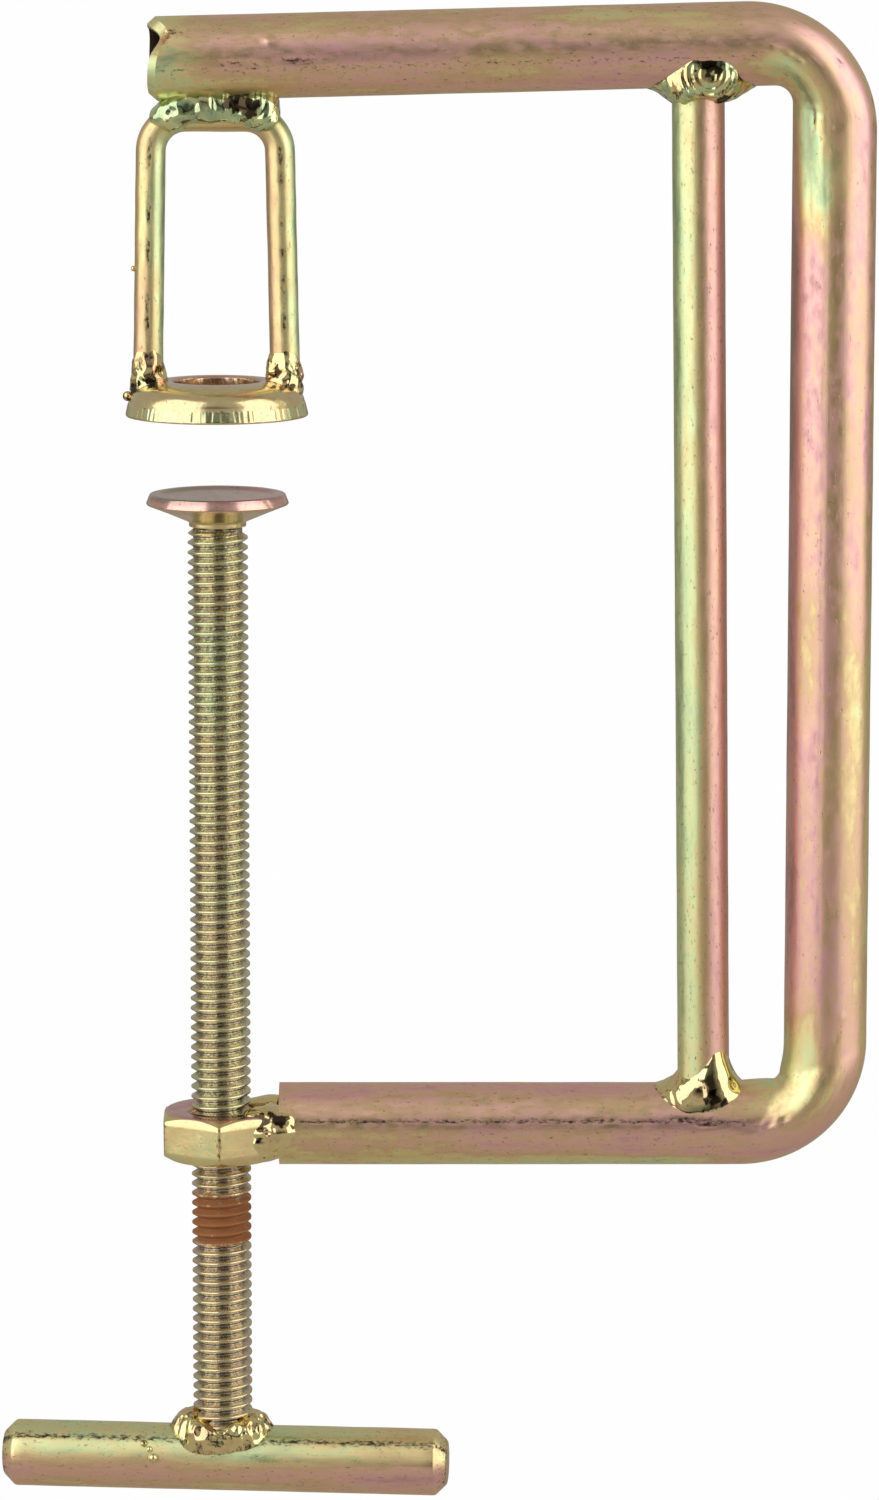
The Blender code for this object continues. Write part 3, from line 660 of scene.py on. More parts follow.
# Patches of tint on the tube: x and z of the middle in mm, angle, reach along in mm, spread round in degrees,
# and film
UPPER_TINTS = (
    (20, 56, 20, 40, 25, 0.46),
    (20, 56, 62, 40, 22, 0.54),
    (2, 54, 85, 12, 20, 0.72),
    (20, 56, 95, 40, 16, 0.60),
    (4, 50, 125, 8, 22, 0.22),
    (20, 52, 125, 14, 20, 0.58),
    (20, 56, 125, 40, 20, 0.48),
    (20, 56, 160, 40, 25, 0.40),
    (45, 56, 112, 6, 18, 0.24),
    (65, 57, 25, 30, 25, 0.44),
    (65, 57, 70, 30, 25, 0.54),
    (65, 57, 115, 30, 20, 0.62),
    (65, 57, 140, 20, 20, 0.72),
    (78, 60, 48, 16, 14, 0.24),
)
BEND_TINTS = (
    (94, 55, 20, 14, 30, 0.52),
    (94, 55, 75, 14, 25, 0.62),
    (95, 40, 120, 8, 30, 0.02),
)
BACK_TINTS = (
    (96, 40, 125, 12, 25, 0.02),
    (96, 20, 125, 9, 25, 0.78),
    (96, -5, 125, 14, 25, 0.70),
    (96, -30, 125, 12, 25, 0.48),
    (96, -54, 125, 12, 25, 0.66),
    (96, -79, 125, 10, 25, 0.78),
    (96, 30, 165, 30, 20, 0.84),
    (96, -40, 165, 44, 20, 0.80),
    (96, 20, 90, 30, 14, 0.48),
    (96, -50, 90, 50, 14, 0.54),
    (96, 40, 45, 16, 25, 0.66),
    (96, 15, 45, 16, 25, 0.61),
    (96, -8, 45, 14, 25, 0.58),
    (96, -30, 45, 12, 25, 0.50),
    (96, -54, 45, 12, 25, 0.32),
    (96, -79, 45, 12, 25, 0.38),
    (96, 20, 8, 25, 20, 0.46),
    (96, -60, 8, 40, 20, 0.26),
)
LOWER_TINTS = (
    (90, -112, 108, 9, 18, 0.80),
    (94, -112, 60, 12, 30, 0.66),
    (92, -114, 15, 16, 30, 0.46),
    (60, -113, 150, 40, 25, 0.60),
    (60, -113, 120, 40, 20, 0.54),
    (60, -113, 90, 40, 20, 0.56),
    (60, -113, 65, 30, 18, 0.66),
    (55, -113, 30, 26, 22, 0.16),
    (20, -113, 75, 14, 25, 0.34),
    (20, -113, 30, 14, 25, 0.30),
)


# Patches that outweigh the ones around them
STRONG_TINTS = (
    (-9, 56, 60, 5.5, 65, 0.10),
    (-9, 52, 115, 6, 55, 0.08),
    (88.5, 54, 114, 3.2, 24, 0.02),
    (94, 51, 140, 7, 40, 0.00),
    (93, -103, 140, 7, 45, 0.08),
    (92, -108, 130, 6, 40, 0.06),
)
TINTS = UPPER_TINTS + BEND_TINTS + BACK_TINTS + LOWER_TINTS + 2 * STRONG_TINTS  # those count twice
PLAIN_FILM, PLAIN_WEIGHT = 0.62, 0.02  # the film between the patches, and how much it counts against them


def tube_coat(points, angle, along, inside):
    """Tints in patches, dirt in the seam and the marks, painted shade all through the bore, and rust near the
    open end and inside.
    """
    x, z = points[..., 0], points[..., 2]
    total, weight = PLAIN_FILM * PLAIN_WEIGHT, PLAIN_WEIGHT
    for px, pz, turn, reach, spread, film in TINTS:
        away = np.hypot(x - px * MM, z - pz * MM) / (reach * MM)
        round_it = angle_from(angle, math.radians(turn)) / math.radians(spread)
        share = np.exp(-(away**2) - round_it**2)
        total = total + share * film
        weight = weight + share
    film = total / weight + 0.10 * wander(round_grain(6 * MM, angle, along / 4), 4 * MM, 5)
    seam = near(angle_from(angle, SEAM), 0, 0.05)
    arms = 1 - ramp(x, REACH - 16 * MM, REACH - 8 * MM)
    lower = ramp(-z, 90 * MM, 100 * MM)
    dirt_and_shade = 0.03 + (0.20 + 0.24 * lower) * seam * (0.3 + 0.7 * arms) + 0.09 * arms
    dirt_and_shade = np.maximum(dirt_and_shade, tube_marks(points, angle, along)[1] * (1 - inside))
    # painted shade: the whole bore is made fully dark, as the inside of a tube lies in shade
    dirt_and_shade = np.maximum(dirt_and_shade, inside)
    rust_spot = near(x, -7.6 * MM, 1.4 * MM) * near(angle_from(angle, math.radians(60)), 0, 0.24)
    return coat(points.shape[:-1], film, dirt_and_shade, 0.75 * rust_spot + 0.25 * inside)


# ---------------------------------------------------------------- straight and bent rods


def rod_skin(centres, radius, sides):
    """Rings round a line of points, each square to the line.

    Returns the corners, with the outward direction, angle and distance along the rod at each.
    """
    centres = np.array(centres, dtype=float)
    ahead = np.gradient(centres, axis=0)
    ahead /= np.linalg.norm(ahead, axis=1)[:, None]
    side_way = np.cross(ahead, TO_FRONT)
    side_way /= np.linalg.norm(side_way, axis=1)[:, None]
    other = np.cross(side_way, ahead)
    angle = round_angles(sides)
    outward = side_way[:, None, :] * np.cos(angle)[:, None] + other[:, None, :] * np.sin(angle)[:, None]
    points = centres[:, None, :] + outward * radius
    angle, along = np.meshgrid(angle, distances(centres))
    return points, outward, angle, along


def make_brace(finish):
    sides, steps = 64, 180
    top, bottom = upper_arm_point(BRACE_TOP_X), Vector((BRACE_BOTTOM_X, 0, LOWER_ARM_Z))
    line = [tuple(bottom.lerp(top, step / steps)) for step in range(steps + 1)]
    points, outward, angle, along = rod_skin(line, BRACE_R, sides)
    points = points + outward * (0.03 * MM * wander(points, 7 * MM, 8))[..., None]
    # each end is coped to sit on the tube
    sag = TUBE_R - np.sqrt(TUBE_R**2 - points[0, :, 1] ** 2)
    points[..., 2] = np.clip(points[..., 2], LOWER_ARM_Z + TUBE_R - sag, top.z - TUBE_R + sag)
    first = int(TUBE_R * 0.6 / (top - bottom).length * steps)
    points, angle, along = points[first:-first], angle[first:-first], along[first:-first]
    left = near(angle_from(angle, LEFT_FRONT), 0, 0.6)
    right = near(angle_from(angle, RIGHT_FRONT), 0, 0.6)
    film = (0.10 * left + 0.66 * right + 0.4 * 0.05) / (left + right + 0.05)
    film = film + 0.12 * drift_along(along, 16 * MM, 4) * left
    marks = coat(points.shape[:-1], film, 0.14)
    grain = round_grain(BRACE_R, angle, along)
    ringed_piece("brace_rod", "frame", finish, points, grain, marks)


def arc_points(centre, radius, start, end, steps):
    """Points (x, z) on an arc, from one angle to the other."""
    for step in range(steps + 1):
        angle = start + (end - start) * step / steps
        yield centre[0] + radius * math.cos(angle), centre[1] + radius * math.sin(angle)


def even_line(points, spacing):
    """The same line with points at an even spacing."""
    points = np.array(points, dtype=float)
    lengths = distances(points)
    at = np.linspace(0, lengths[-1], max(2, round(lengths[-1] / spacing) + 1))
    return np.stack([np.interp(at, lengths, points[:, axis]) for axis in range(3)], axis=-1)


def make_yoke(finish):
    lean = math.atan2(YOKE_BOTTOM_HALF - YOKE_TOP_HALF, CROWN_Z)
    tangent = YOKE_CORNER_R * math.tan((math.pi / 2 - lean) / 2)
    centre = (YOKE_TOP_HALF - tangent, CROWN_Z - YOKE_CORNER_R)
    right = list(arc_points(centre, YOKE_CORNER_R, math.pi / 2, lean, 16))
    right.append((YOKE_BOTTOM_HALF, RING_BAND))
    left = [(-x, z) for x, z in reversed(right)]
    line = even_line([(x, 0, z) for x, z in left + right], 0.6 * MM)
    points, outward, angle, along = rod_skin(line, YOKE_R, sides=48)
    # the draw mark down the front of each leg
    mark = near(angle_from(angle, FRONT), 0.05, 0.10) * ramp(drift_along(along, 3 * MM, 6), -0.1, 0.4)
    push = 0.05 * MM * wander(points, 4 * MM, 2) - 0.12 * MM * mark
    points = points + outward * push[..., None]
    film = 0.27 - 0.20 * outward[..., 0] + 0.10 * wander(points, 9 * MM, 9)
    marks = coat(points.shape[:-1], film, 0.12 + 0.75 * mark)
    grain = round_grain(YOKE_R, angle, along)
    ringed_piece("cage_yoke", "frame", finish, points, grain, marks)


# ---------------------------------------------------------------- turned pieces


def turned_skin(profile, sides):
    """Rings from (radius, height) pairs about the screw's axis, with the angle at each corner."""
    profile = np.array(profile, dtype=float)
    angle = np.broadcast_to(round_angles(sides), (len(profile), sides))
    return round_grain(profile[:, :1], angle, np.broadcast_to(profile[:, 1:], angle.shape)), angle


def softened(profile, radius=0.12 * MM, steps=3, closed=False):
    """The profile with each corner rounded to that radius."""
    out = []
    count = len(profile)
    for index, (r, z) in enumerate(profile):
        if not closed and index in (0, count - 1):
            out.append((r, z))
            continue
        here = Vector((r, z))
        before, after = Vector(profile[index - 1]), Vector(profile[(index + 1) % count])
        back, on = before - here, after - here
        reach = min(radius, back.length * 0.45, on.length * 0.45)
        a, b = here + back.normalized() * reach, here + on.normalized() * reach
        for step in range(steps + 1):
            t = step / steps
            point = a * (1 - t) ** 2 + here * 2 * t * (1 - t) + b * t**2
            out.append((point.x, point.y))
    return out


def make_ring(finish):
    band_r = RING_R - 0.4 * MM
    edge, hole_chamfer = 0.15 * MM, 0.35 * MM
    dome = []
    for step in range(1, 20):
        angle = math.pi / 2 * (1 - step / 20)
        across = RING_LIP_R + (band_r - edge - RING_LIP_R) * math.cos(angle)
        dome.append((across, RING_BAND + (RING_TOP - RING_BAND) * math.sin(angle)))
    outline = [(RING_HOLE_R, RING_SEAT_DEPTH), (RING_HOLE_R, RING_TOP - hole_chamfer)]
    outline += [(RING_HOLE_R + hole_chamfer, RING_TOP), (RING_LIP_R, RING_TOP)] + dome
    outline += np.linspace((band_r, RING_BAND - edge), (RING_R, 0.2 * MM), 8).tolist()
    outline += [(RING_R - edge, 0), (RING_SEAT_R, 0), (RING_SEAT_R, RING_SEAT_DEPTH)]
    points, angle = turned_skin(softened(outline, 0.1 * MM, 2, closed=True), sides=480)
    radius, z = np.hypot(points[..., 0], points[..., 1]), points[..., 2]
    on_band = ramp(radius, band_r - 0.1 * MM, band_r + 0.05 * MM) * ramp(z, 0.1 * MM, 0.5 * MM)
    on_band *= 1 - ramp(z, RING_BAND - 0.3 * MM, RING_BAND)
    # the upright marks that the blanking punch sheared into the edge
    turn_line = np.stack([np.cos(angle), np.sin(angle), 0.006 * z / MM], -1) * RING_R
    shear = wander(turn_line, 0.42 * MM, 11) + 0.6 * wander(turn_line, 1.1 * MM, 12)
    push = -0.10 * MM * on_band * np.clip(shear, -0.4, 1.2)
    push += 0.05 * MM * wander(points, 4 * MM, 13) * ramp(radius, RING_LIP_R, RING_R)
    points[..., 0] += push * np.cos(angle)
    points[..., 1] += push * np.sin(angle)
    film = 0.34 + 0.4 * near(radius, RING_LIP_R - 0.4 * MM, 0.9 * MM) * (z > RING_TOP - 0.5 * MM)
    film = film + 0.10 * wander(points, 6 * MM, 14) - 0.12 * on_band + 0.16 * on_band * np.clip(shear, -1, 1)
    # painted shade: the wall of the hole is darkened
    painted_hole_shade = ramp(-radius, -RING_HOLE_R - 0.2 * MM, -RING_HOLE_R) * (z < RING_TOP - 0.3 * MM)
    marks = coat(z.shape, film, 0.1 + 0.15 * on_band * ramp(shear, 0.2, 0.8) + 0.3 * painted_hole_shade)
    ringed_piece("jaw_ring", "frame", finish, points, points, marks, loop=True, sharp=55)


def make_disc(finish):
    top, edge = DISC_HIGH.z, DISC_HIGH.z - DISC_EDGE
    foot = DISC_LOW.z
    dish_r, dish = DISC_TOP_R - 1.2 * MM, top - 0.35 * MM
    socket_r, neck_r, axis_r = 3.4 * MM, 2.6 * MM, 0.15 * MM
    roof = SCREW_HIGH.z + 0.3 * MM
    outline = [
        (axis_r, roof),
        (socket_r, roof),
        (socket_r, roof - 2.0 * MM),
        (neck_r, roof - 2.0 * MM),
        (neck_r, foot),
        (DISC_NECK_R, foot),
        (DISC_NECK_R, edge - DISC_CONE),
        (DISC_NECK_R + 0.55 * (DISC_R - DISC_NECK_R), edge - 0.42 * DISC_CONE),
        (DISC_R - 0.15 * MM, edge),
        (DISC_R, edge + 0.2 * MM),
        (DISC_TOP_R + 0.25 * MM, top - 0.1 * MM),
        (DISC_TOP_R - 0.15 * MM, top),
        (dish_r, top),
        (dish_r - 0.7 * MM, dish),
        (axis_r, dish),
    ]
    points, _ = turned_skin(softened(outline, 0.18 * MM), sides=192)
    points[..., 2] += 0.03 * MM * wander(points, 5 * MM, 21)
    x, y, z = np.moveaxis(points, -1, 0)
    upper = ramp(z, top - 0.6 * MM, top - 0.3 * MM)
    rim = ramp(np.hypot(x, y), DISC_TOP_R - 0.2 * MM, DISC_TOP_R + 0.1 * MM)
    film = 0.30 + upper * (0.60 - 0.08 * np.tanh(x / (4 * MM))) + 0.06 * wander(points, 6 * MM, 22)
    film = film + 0.25 * rim * (1 - upper)
    marks = coat(z.shape, film, 0.15)
    ringed_piece("pressure_disc", "disc", finish, points, points, marks, sharp=50)


# ---------------------------------------------------------------- screw and nut


# One turn of the thread, as shares of its pitch and depth: root, flank, rounded crest, flank
THREAD = (
    (0.0, 0.0), (0.09, 0.06), (0.36, 0.86), (0.41, 0.98), (0.5, 1.0), (0.59, 0.98), (0.64, 0.86), (0.91, 0.06)
)


def make_screw(finish):
    sides = 64
    low, high = SCREW_LOW.z - PITCH, SCREW_TOP + 1.5 * PITCH
    turns = math.ceil((high - low) / PITCH)
    rings = [(turn + share, depth) for turn in range(turns) for share, depth in THREAD] + [(turns, 0.0)]
    steps, depth = np.array(rings).T[:, :, None]
    angle = round_angles(sides)
    height = low + PITCH * (steps - 1 + angle / math.tau)
    angle = np.broadcast_to(angle, height.shape)
    bruise = wander(round_grain(5 * MM, angle, height), 1.3 * MM, 31)
    radius = SCREW_R - THREAD_DEPTH + THREAD_DEPTH * depth * ramp(SCREW_TOP - height, 0, 0.9 * MM)
    radius = radius - 0.05 * MM * np.clip(bruise - 0.35, 0, 1) * depth
    points = round_grain(radius, angle, height)
    bm = bmesh.new()
    corners = [bm.verts.new(point) for point in points.reshape(-1, 3)]
    for face in ring_faces(len(rings), sides, shift=len(THREAD)):
        bm.faces.new([corners[index] for index in face])
    for place, way in ((SCREW_TOP, 1), (SCREW_LOW.z, -1)):
        everything = list(bm.verts) + list(bm.edges) + list(bm.faces)
        plane = {"plane_co": (0, 0, place), "plane_no": (0, 0, way)}
        bmesh.ops.bisect_plane(bm, geom=everything, dist=0.001 * MM, clear_outer=True, **plane)
        rim = [edge for edge in bm.edges if edge.is_boundary and abs(edge.verts[0].co.z - place) < 0.01 * MM]
        if way > 0:
            rim = tip_of_screw(bm, rim)
        bmesh.ops.contextual_create(bm, geom=rim)
    mesh = bpy.data.meshes.new("spindle_screw_skin")
    bmesh.ops.recalc_face_normals(bm, faces=bm.faces)
    bm.to_mesh(mesh)
    bm.free()
    co = corner_places(mesh)
    out = np.hypot(co[:, 0], co[:, 1])
    crest = ramp(out, SCREW_R - THREAD_DEPTH, SCREW_R)
    below = NUT_LOW.z - co[:, 2]
    rust_band = ramp(below, 2 * MM, 8 * MM) * (1 - ramp(below, 13 * MM, 15 * MM))
    worked = ramp(below, NUT_LOW.z - NUT_HIGH.z, 0)
    film = 0.32 - 0.12 * crest + 0.12 * worked + 0.10 * wander(co, 9 * MM, 32)
    # painted shade: the roots are darkened, and the flanks less so towards the crests
    dirt_and_shade = 0.52 * (1 - crest) + 0.12
    rust = 0.60 * rust_band + 0.14 * ramp(below, 0, 6 * MM)
    add_layers(mesh, {"grain": co, "coat": coat(film.shape, film, dirt_and_shade, rust)})
    screw = in_scene("spindle_screw_skin", mesh)
    mesh.shade_smooth()
    mesh.set_sharp_from_angle(angle=math.radians(60))
    stands_for(screw, "spindle_screw", "spindle", finish)


def tip_of_screw(bm, rim):
    """Draws the cut end in to the swivel's neck and out again to its head. Returns the edges left open."""
    head_r, neck_r = 3.1 * MM, 2.3 * MM
    top = SCREW_HIGH.z
    for radius, height in (
        (SCREW_R - THREAD_DEPTH, SCREW_TOP),
        (neck_r, SCREW_TOP),
        (neck_r, top - 1.4 * MM),
        (head_r, top - 1.0 * MM),
        (head_r, top - 0.3 * MM),
        (head_r - 0.3 * MM, top),
    ):
        made = bmesh.ops.extrude_edge_only(bm, edges=rim)["geom"]
        for corner in (item for item in made if isinstance(item, bmesh.types.BMVert)):
            turn = math.atan2(corner.co.y, corner.co.x)
            corner.co = (radius * math.cos(turn), radius * math.sin(turn), height)
        rim = [item for item in made if isinstance(item, bmesh.types.BMEdge)]
    return rim


def make_nut(finish):
    angle = round_angles(240) - math.pi / 2
    sharp = 90  # the higher, the sharper the six corners
    flats = [np.clip(np.cos(angle - math.radians(60 * side - 60)), 0, 1) ** sharp for side in range(6)]
    reach = NUT_ACROSS / 2 / sum(flats) ** (1 / sharp)
    face_r = NUT_FACE_R
    bore_r, lead_in = SCREW_R + 0.12 * MM, 0.75 * MM
    middle, half = (NUT_LOW.z + NUT_HIGH.z) / 2, (NUT_HIGH.z - NUT_LOW.z) / 2
    fall = (reach - face_r) * math.tan(NUT_CHAMFER)
    rows = []
    for way in (1, -1):
        side = [
            (bore_r, 0.55 * half),
            (bore_r, half - lead_in),
            (bore_r + lead_in, half),
            (0.5 * (bore_r + face_r), half),
            (face_r - 0.15 * MM, half),
            (face_r + 0.12 * MM, half - 0.05 * MM),
            (0.5 * (face_r + reach), half - 0.5 * fall),
            (reach - 0.12 * MM, half - fall + 0.06 * MM),
            (reach, half - fall - 0.14 * MM),
            (reach, 0.55 * half),
            (reach, 0.25 * half),
        ]
        side = [(radius, middle + way * height) for radius, height in side]
        rows += side if way > 0 else side[::-1]
    points = np.array([round_grain(radius, angle, height + 0 * angle) for radius, height in rows])
    out = np.hypot(points[..., 0], points[..., 1])
    push = 0.04 * MM * wander(points, 3 * MM, 41)
    points[..., :2] *= (1 + push / out)[..., None]
    right = ramp(points[..., 0], -1 * MM, 1 * MM)
    corner = ramp(out, NUT_ACROSS / 2 * 1.11, NUT_CORNER_R)
    top_face = ramp(points[..., 2], NUT_HIGH.z - 0.3 * MM, NUT_HIGH.z)
    film = 0.27 + 0.08 * right + 0.07 * wander(points, 5 * MM, 42) + 0.55 * top_face
    marks = coat(out.shape, film, 0.08 + 0.35 * corner)
    ringed_piece("spindle_nut", "frame", finish, points, points, marks, loop=True, sharp=50)


# ---------------------------------------------------------------- cross bar


def make_bar(finish):
    chamfer, face_r = 1.9 * MM, BAR_R - 1.9 * MM
    shoulder = -BAR_HALF + 2 * chamfer
    ends = [(0.1 * MM, -BAR_HALF), (face_r * 0.6, -BAR_HALF), (face_r, -BAR_HALF)]
    ends = softened(ends + [(BAR_R, -BAR_HALF + chamfer), (BAR_R, shoulder)], 0.35 * MM)
    body = [(BAR_R, shoulder + step * MM) for step in range(1, 64)]
    profile = ends + [point for point in body if point[1] < -shoulder - 0.5 * MM]
    profile += [(r, -z) for r, z in reversed(ends)]
    grain, angle = turned_skin(profile, sides=72)
    points, length = grain.copy(), grain[..., 2]
    push = 0.05 * MM * wander(points, 6 * MM, 51)
    points[..., 0] += push * np.cos(angle)
    points[..., 1] += push * np.sin(angle)
    ends_dark = ramp(np.abs(length), BAR_HALF - 1.2 * MM, BAR_HALF)
    # greener on top, pinker on the front below the middle
    up = -np.cos(angle)
    film = 0.46 - 0.24 * ramp(up, -0.05, 0.45) + 0.18 * near(up, -0.3, 0.25)
    film = film + 0.22 * drift_along(length, 14 * MM, 52)
    # painted dark reflection: a thin dark line along the bar's upper front
    line = near(up, 0.72, 0.07) * (np.sin(angle) < 0)
    marks = coat(angle.shape, film, 0.12 + 0.3 * ends_dark + 0.5 * line)
    lay = Matrix.Translation((BAR_OFFSET, 0, BAR_Z)) @ Matrix.Rotation(BAR_TURN, 4, "Z")
    lay = lay @ Matrix.Rotation(math.pi / 2, 4, "Y")
    ringed_piece("handle_bar", "spindle", finish, points, grain, marks, lay=lay)


# ---------------------------------------------------------------- weld beads


def bead_coat(points, seed, tint, scale=(), toe=0.0):
    """The film in patches a few millimetres across, with a painted shadow along the toe and black patches of
    painted dark reflection.

    tint is the middle of the film, how far it drifts, and how much it darkens in random patches. Each entry
    of scale, a black patch of painted dark reflection, is a place and a radius, in mm.
    """
    base, drift, dark_mottle = tint
    film = base + drift * wander(points, 2.6 * MM, seed + 2)
    # painted shadow along the toe, over an even dark and random dark patches
    dark = 0.10 + 0.35 * toe + dark_mottle * ramp(wander(points, 1.7 * MM, seed + 6), 0.0, 0.3)
    ragged = 1 + 0.9 * wander(points, 1.0 * MM, seed + 7)
    # painted dark reflection: black patches where the glossy bead faces the dark room behind the camera
    for place, radius in scale:
        away = np.linalg.norm(points - np.array(place) * MM, axis=-1) * ragged
        dark = np.maximum(dark, 1.1 * (1 - ramp(away, 0.6 * radius * MM, 1.1 * radius * MM)))
    return coat(film.shape, film, dark)


def molten(points, seed, lumps, creases):
    """How far the surface swells and folds as the pool freezes: the height in mm of its lumps and creases."""
    swell = lumps * MM * wander(points, 2.8 * MM, seed)
    fold = creases * MM * (0.35 - np.abs(wander(points, 1.9 * MM, seed + 1)))
    return swell + fold + 0.012 * MM * wander(points, 0.5 * MM, seed + 4)


def pressed(points, normals, dents, ripples):
    """Moves the surface for each dent (place, radius, depth) and each set of ripples, all in mm.

    Ripples are (place, inner, outer, spacing, height): the rings that a pool leaves round the place as it
    freezes from the edge in.
    """

    def from_place(place):
        return np.linalg.norm(points - np.array(place) * MM, axis=-1) / MM

    push = np.zeros(points.shape[:-1])
    for place, radius, depth in dents:
        push -= depth * MM * near(from_place(place), 0, radius)
    for place, inner, outer, spacing, height in ripples:
        away = from_place(place)
        band = ramp(away, inner - 0.5, inner + 0.5) * (1 - ramp(away, outer - 0.5, outer + 0.5))
        wave = np.abs(np.sin(math.pi * (away + 0.25 * wander(points, 2 * MM, 7)) / spacing))
        push += height * MM * band * (wave - 0.6)
    return points + normals * push[..., None]


def on_tube(tube_r):
    """Where a bead's toe lies on a tube that it spreads over: across is along the tube, then round it."""

    def toe(along, around):
        turn = around / tube_r
        return along, tube_r * np.sin(turn), tube_r * np.cos(turn)

    return toe


def on_ring(centre_x):
    """Where a bead's toe lies on the ring's dome, round a leg at centre_x."""

    def toe(along, around):
        out = np.hypot(centre_x + along, around)
        share = np.clip((out - RING_LIP_R) / (RING_R - 0.55 * MM - RING_LIP_R), 0, 1)
        return along, around, RING_BAND + (RING_TOP - RING_BAND) * np.sqrt(1 - share**2)

    return toe


def collar_bead(
    name, place, rod_r, toe, spread, front_spread, rise, fatness, body, finish, seed, tint, lumps, creases,
    uneven=1.0, lobes=(), dents=(), ripples=(), spatter=(), scale=(),
):
    """A bead run right round a rod where it meets another piece.

    place turns the bead's own axes, with the rod along +Z, into the clamp's. toe says where its foot lies.
    In mm: spread is how far it reaches from the rod at its sides, front_spread at its front and back, rise
    how far it climbs the rod, and fatness how far it stands out of the corner. Each lobe adds to it on one
    side of the clamp: angle (0 is right, -90 the front), spread in degrees, and more reach, rise and fatness.
    uneven is how much those drift. Each drop of spatter is a centre and a radius. bead_coat tells of tint
    and of scale, the painted dark reflections, molten of lumps and creases, and pressed of dents and ripples.
    """
    sides, rows = 192, 26
    turn = round_angles(sides)
    still = 0 * turn
    circle = round_grain(rod_r, turn, still)
    turned = np.array(place.to_3x3())
    ways = circle @ turned.T
    seen = np.arctan2(ways[:, 1], ways[:, 0])
    grown = np.array([spread + (front_spread - spread) * np.sin(turn) ** 2, rise + still, fatness + still])
    for way, width, *more in lobes:
        grown += np.array(more)[:, None] * near(angle_from(seen, math.radians(way)), 0, math.radians(width))
    drift = [
        0.20 * wander(circle, 2.6 * MM, seed + at) + 0.07 * wander(circle, 0.9 * MM, seed + at + 1)
        for at in (0, 2, 4)
    ]
    reach, climb, fat = grown * MM * (1 + uneven * np.array(drift))
    reach = rod_r + reach

    def ring_at(radius, lift):
        x, y, z = toe(radius * np.cos(turn), radius * np.sin(turn))
        return np.stack([x, y, z + lift], axis=-1)

    # the rings run from under the toe over the bead's face and back into the corner
    corner = ring_at(rod_r + still, 0)
    corner[:, :2] = circle[:, :2]
    outward = circle / rod_r
    low, high = ring_at(reach, 0), corner + climb[:, None] * UP
    middle = corner + (outward + UP) * fat[:, None]
    rings = [ring_at(reach - BEAD_ROOT / 2, -BEAD_ROOT)]
    for row in range(rows + 1):
        t = row / rows
        rings.append(low * (1 - t) ** 2 + middle * 2 * t * (1 - t) + high * t**2)
    rings += [high - outward * BEAD_ROOT, corner - (outward + UP) * BEAD_ROOT]
    points = np.array(rings)
    face = np.zeros(points.shape[:2])
    face[1:-2] = np.sin(np.linspace(0, math.pi, rows + 1))[:, None] ** 0.5
    normal = np.cross(np.roll(points, -1, axis=1) - np.roll(points, 1, axis=1), np.gradient(points, axis=0))
    normal /= np.maximum(np.linalg.norm(normal, axis=-1), 1e-12)[..., None]
    if (normal[rows // 2] * outward).sum() < 0:
        normal = -normal
    points = points + normal * (molten(points, seed + 5, lumps, creases) * face)[..., None]
    points = points @ turned.T + np.array(place.translation)
    points = pressed(points, normal @ turned.T * face[..., None], dents, ripples)
    # painted shadow: the bead's rows at its toe are darkened
    toe_shadow = np.zeros(points.shape[:2])
    toe_shadow[:4] = np.array([1, 1, 0.6, 0.2])[:, None]
    marks = bead_coat(points, seed, tint, scale, toe_shadow).reshape(-1, 3)
    points, faces = points.reshape(-1, 3), ring_faces(len(points), sides, loop=True)
    for centre, radius in spatter:
        drop, drop_faces = ball(centre, radius)
        faces += [tuple(corner + len(points) for corner in face) for face in drop_faces]
        points = np.concatenate([points, drop])
        marks = np.concatenate([marks, bead_coat(drop, seed, tint)])
    obj = mesh_piece(name + "_bead", points, faces, points, marks)
    tidy_skin(obj, 70)
    stands_for(obj, name, body, finish)


def ball(centre, radius):
    """A drop of spatter: corners and faces. The centre and radius are in mm."""
    turns = [math.pi * step / 9 for step in range(10)]
    points, _ = turned_skin([(max(math.sin(turn), 0.02), -math.cos(turn)) for turn in turns], sides=16)
    faces = ring_faces(len(points), 16) + caps(len(points), 16)
    return points.reshape(-1, 3) * radius * MM + np.array(centre) * MM, faces


def run_bead(name, drops, body, finish, seed, tint, lumps, creases, dents=(), ripples=(), scale=()):
    """A bead of drops that run together. Each drop is a centre and three half sizes, in mm."""
    bm = bmesh.new()
    for *centre, width, depth, height in drops:
        made = bmesh.ops.create_icosphere(bm, subdivisions=3, radius=MM)["verts"]
        bmesh.ops.scale(bm, vec=(width, depth, height), verts=made)
        bmesh.ops.translate(bm, vec=Vector(centre) * MM, verts=made)
    mesh = bpy.data.meshes.new(name + "_bead")
    bm.to_mesh(mesh)
    bm.free()
    obj = in_scene(name + "_bead", mesh)
    melt = obj.modifiers.new("melt", "REMESH")
    melt.mode = "VOXEL"
    melt.voxel_size = 0.2 * MM
    flow = obj.modifiers.new("flow", "SMOOTH")
    flow.factor = 0.5
    flow.iterations = 30
    evaluated = obj.evaluated_get(bpy.context.evaluated_depsgraph_get())
    melted = bpy.data.meshes.new_from_object(evaluated)
    obj.modifiers.clear()
    obj.data = melted
    co, normals = corner_places(melted), corner_places(melted, "normal")
    co = co + normals * molten(co, seed, lumps, creases)[:, None]
    co = pressed(co, normals, dents, ripples)
    melted.vertices.foreach_set("co", co.astype(np.float32).ravel())
    add_layers(melted, {"grain": co, "coat": bead_coat(co, seed, tint, scale)})
    melted.shade_smooth()
    stands_for(obj, name, body, finish)


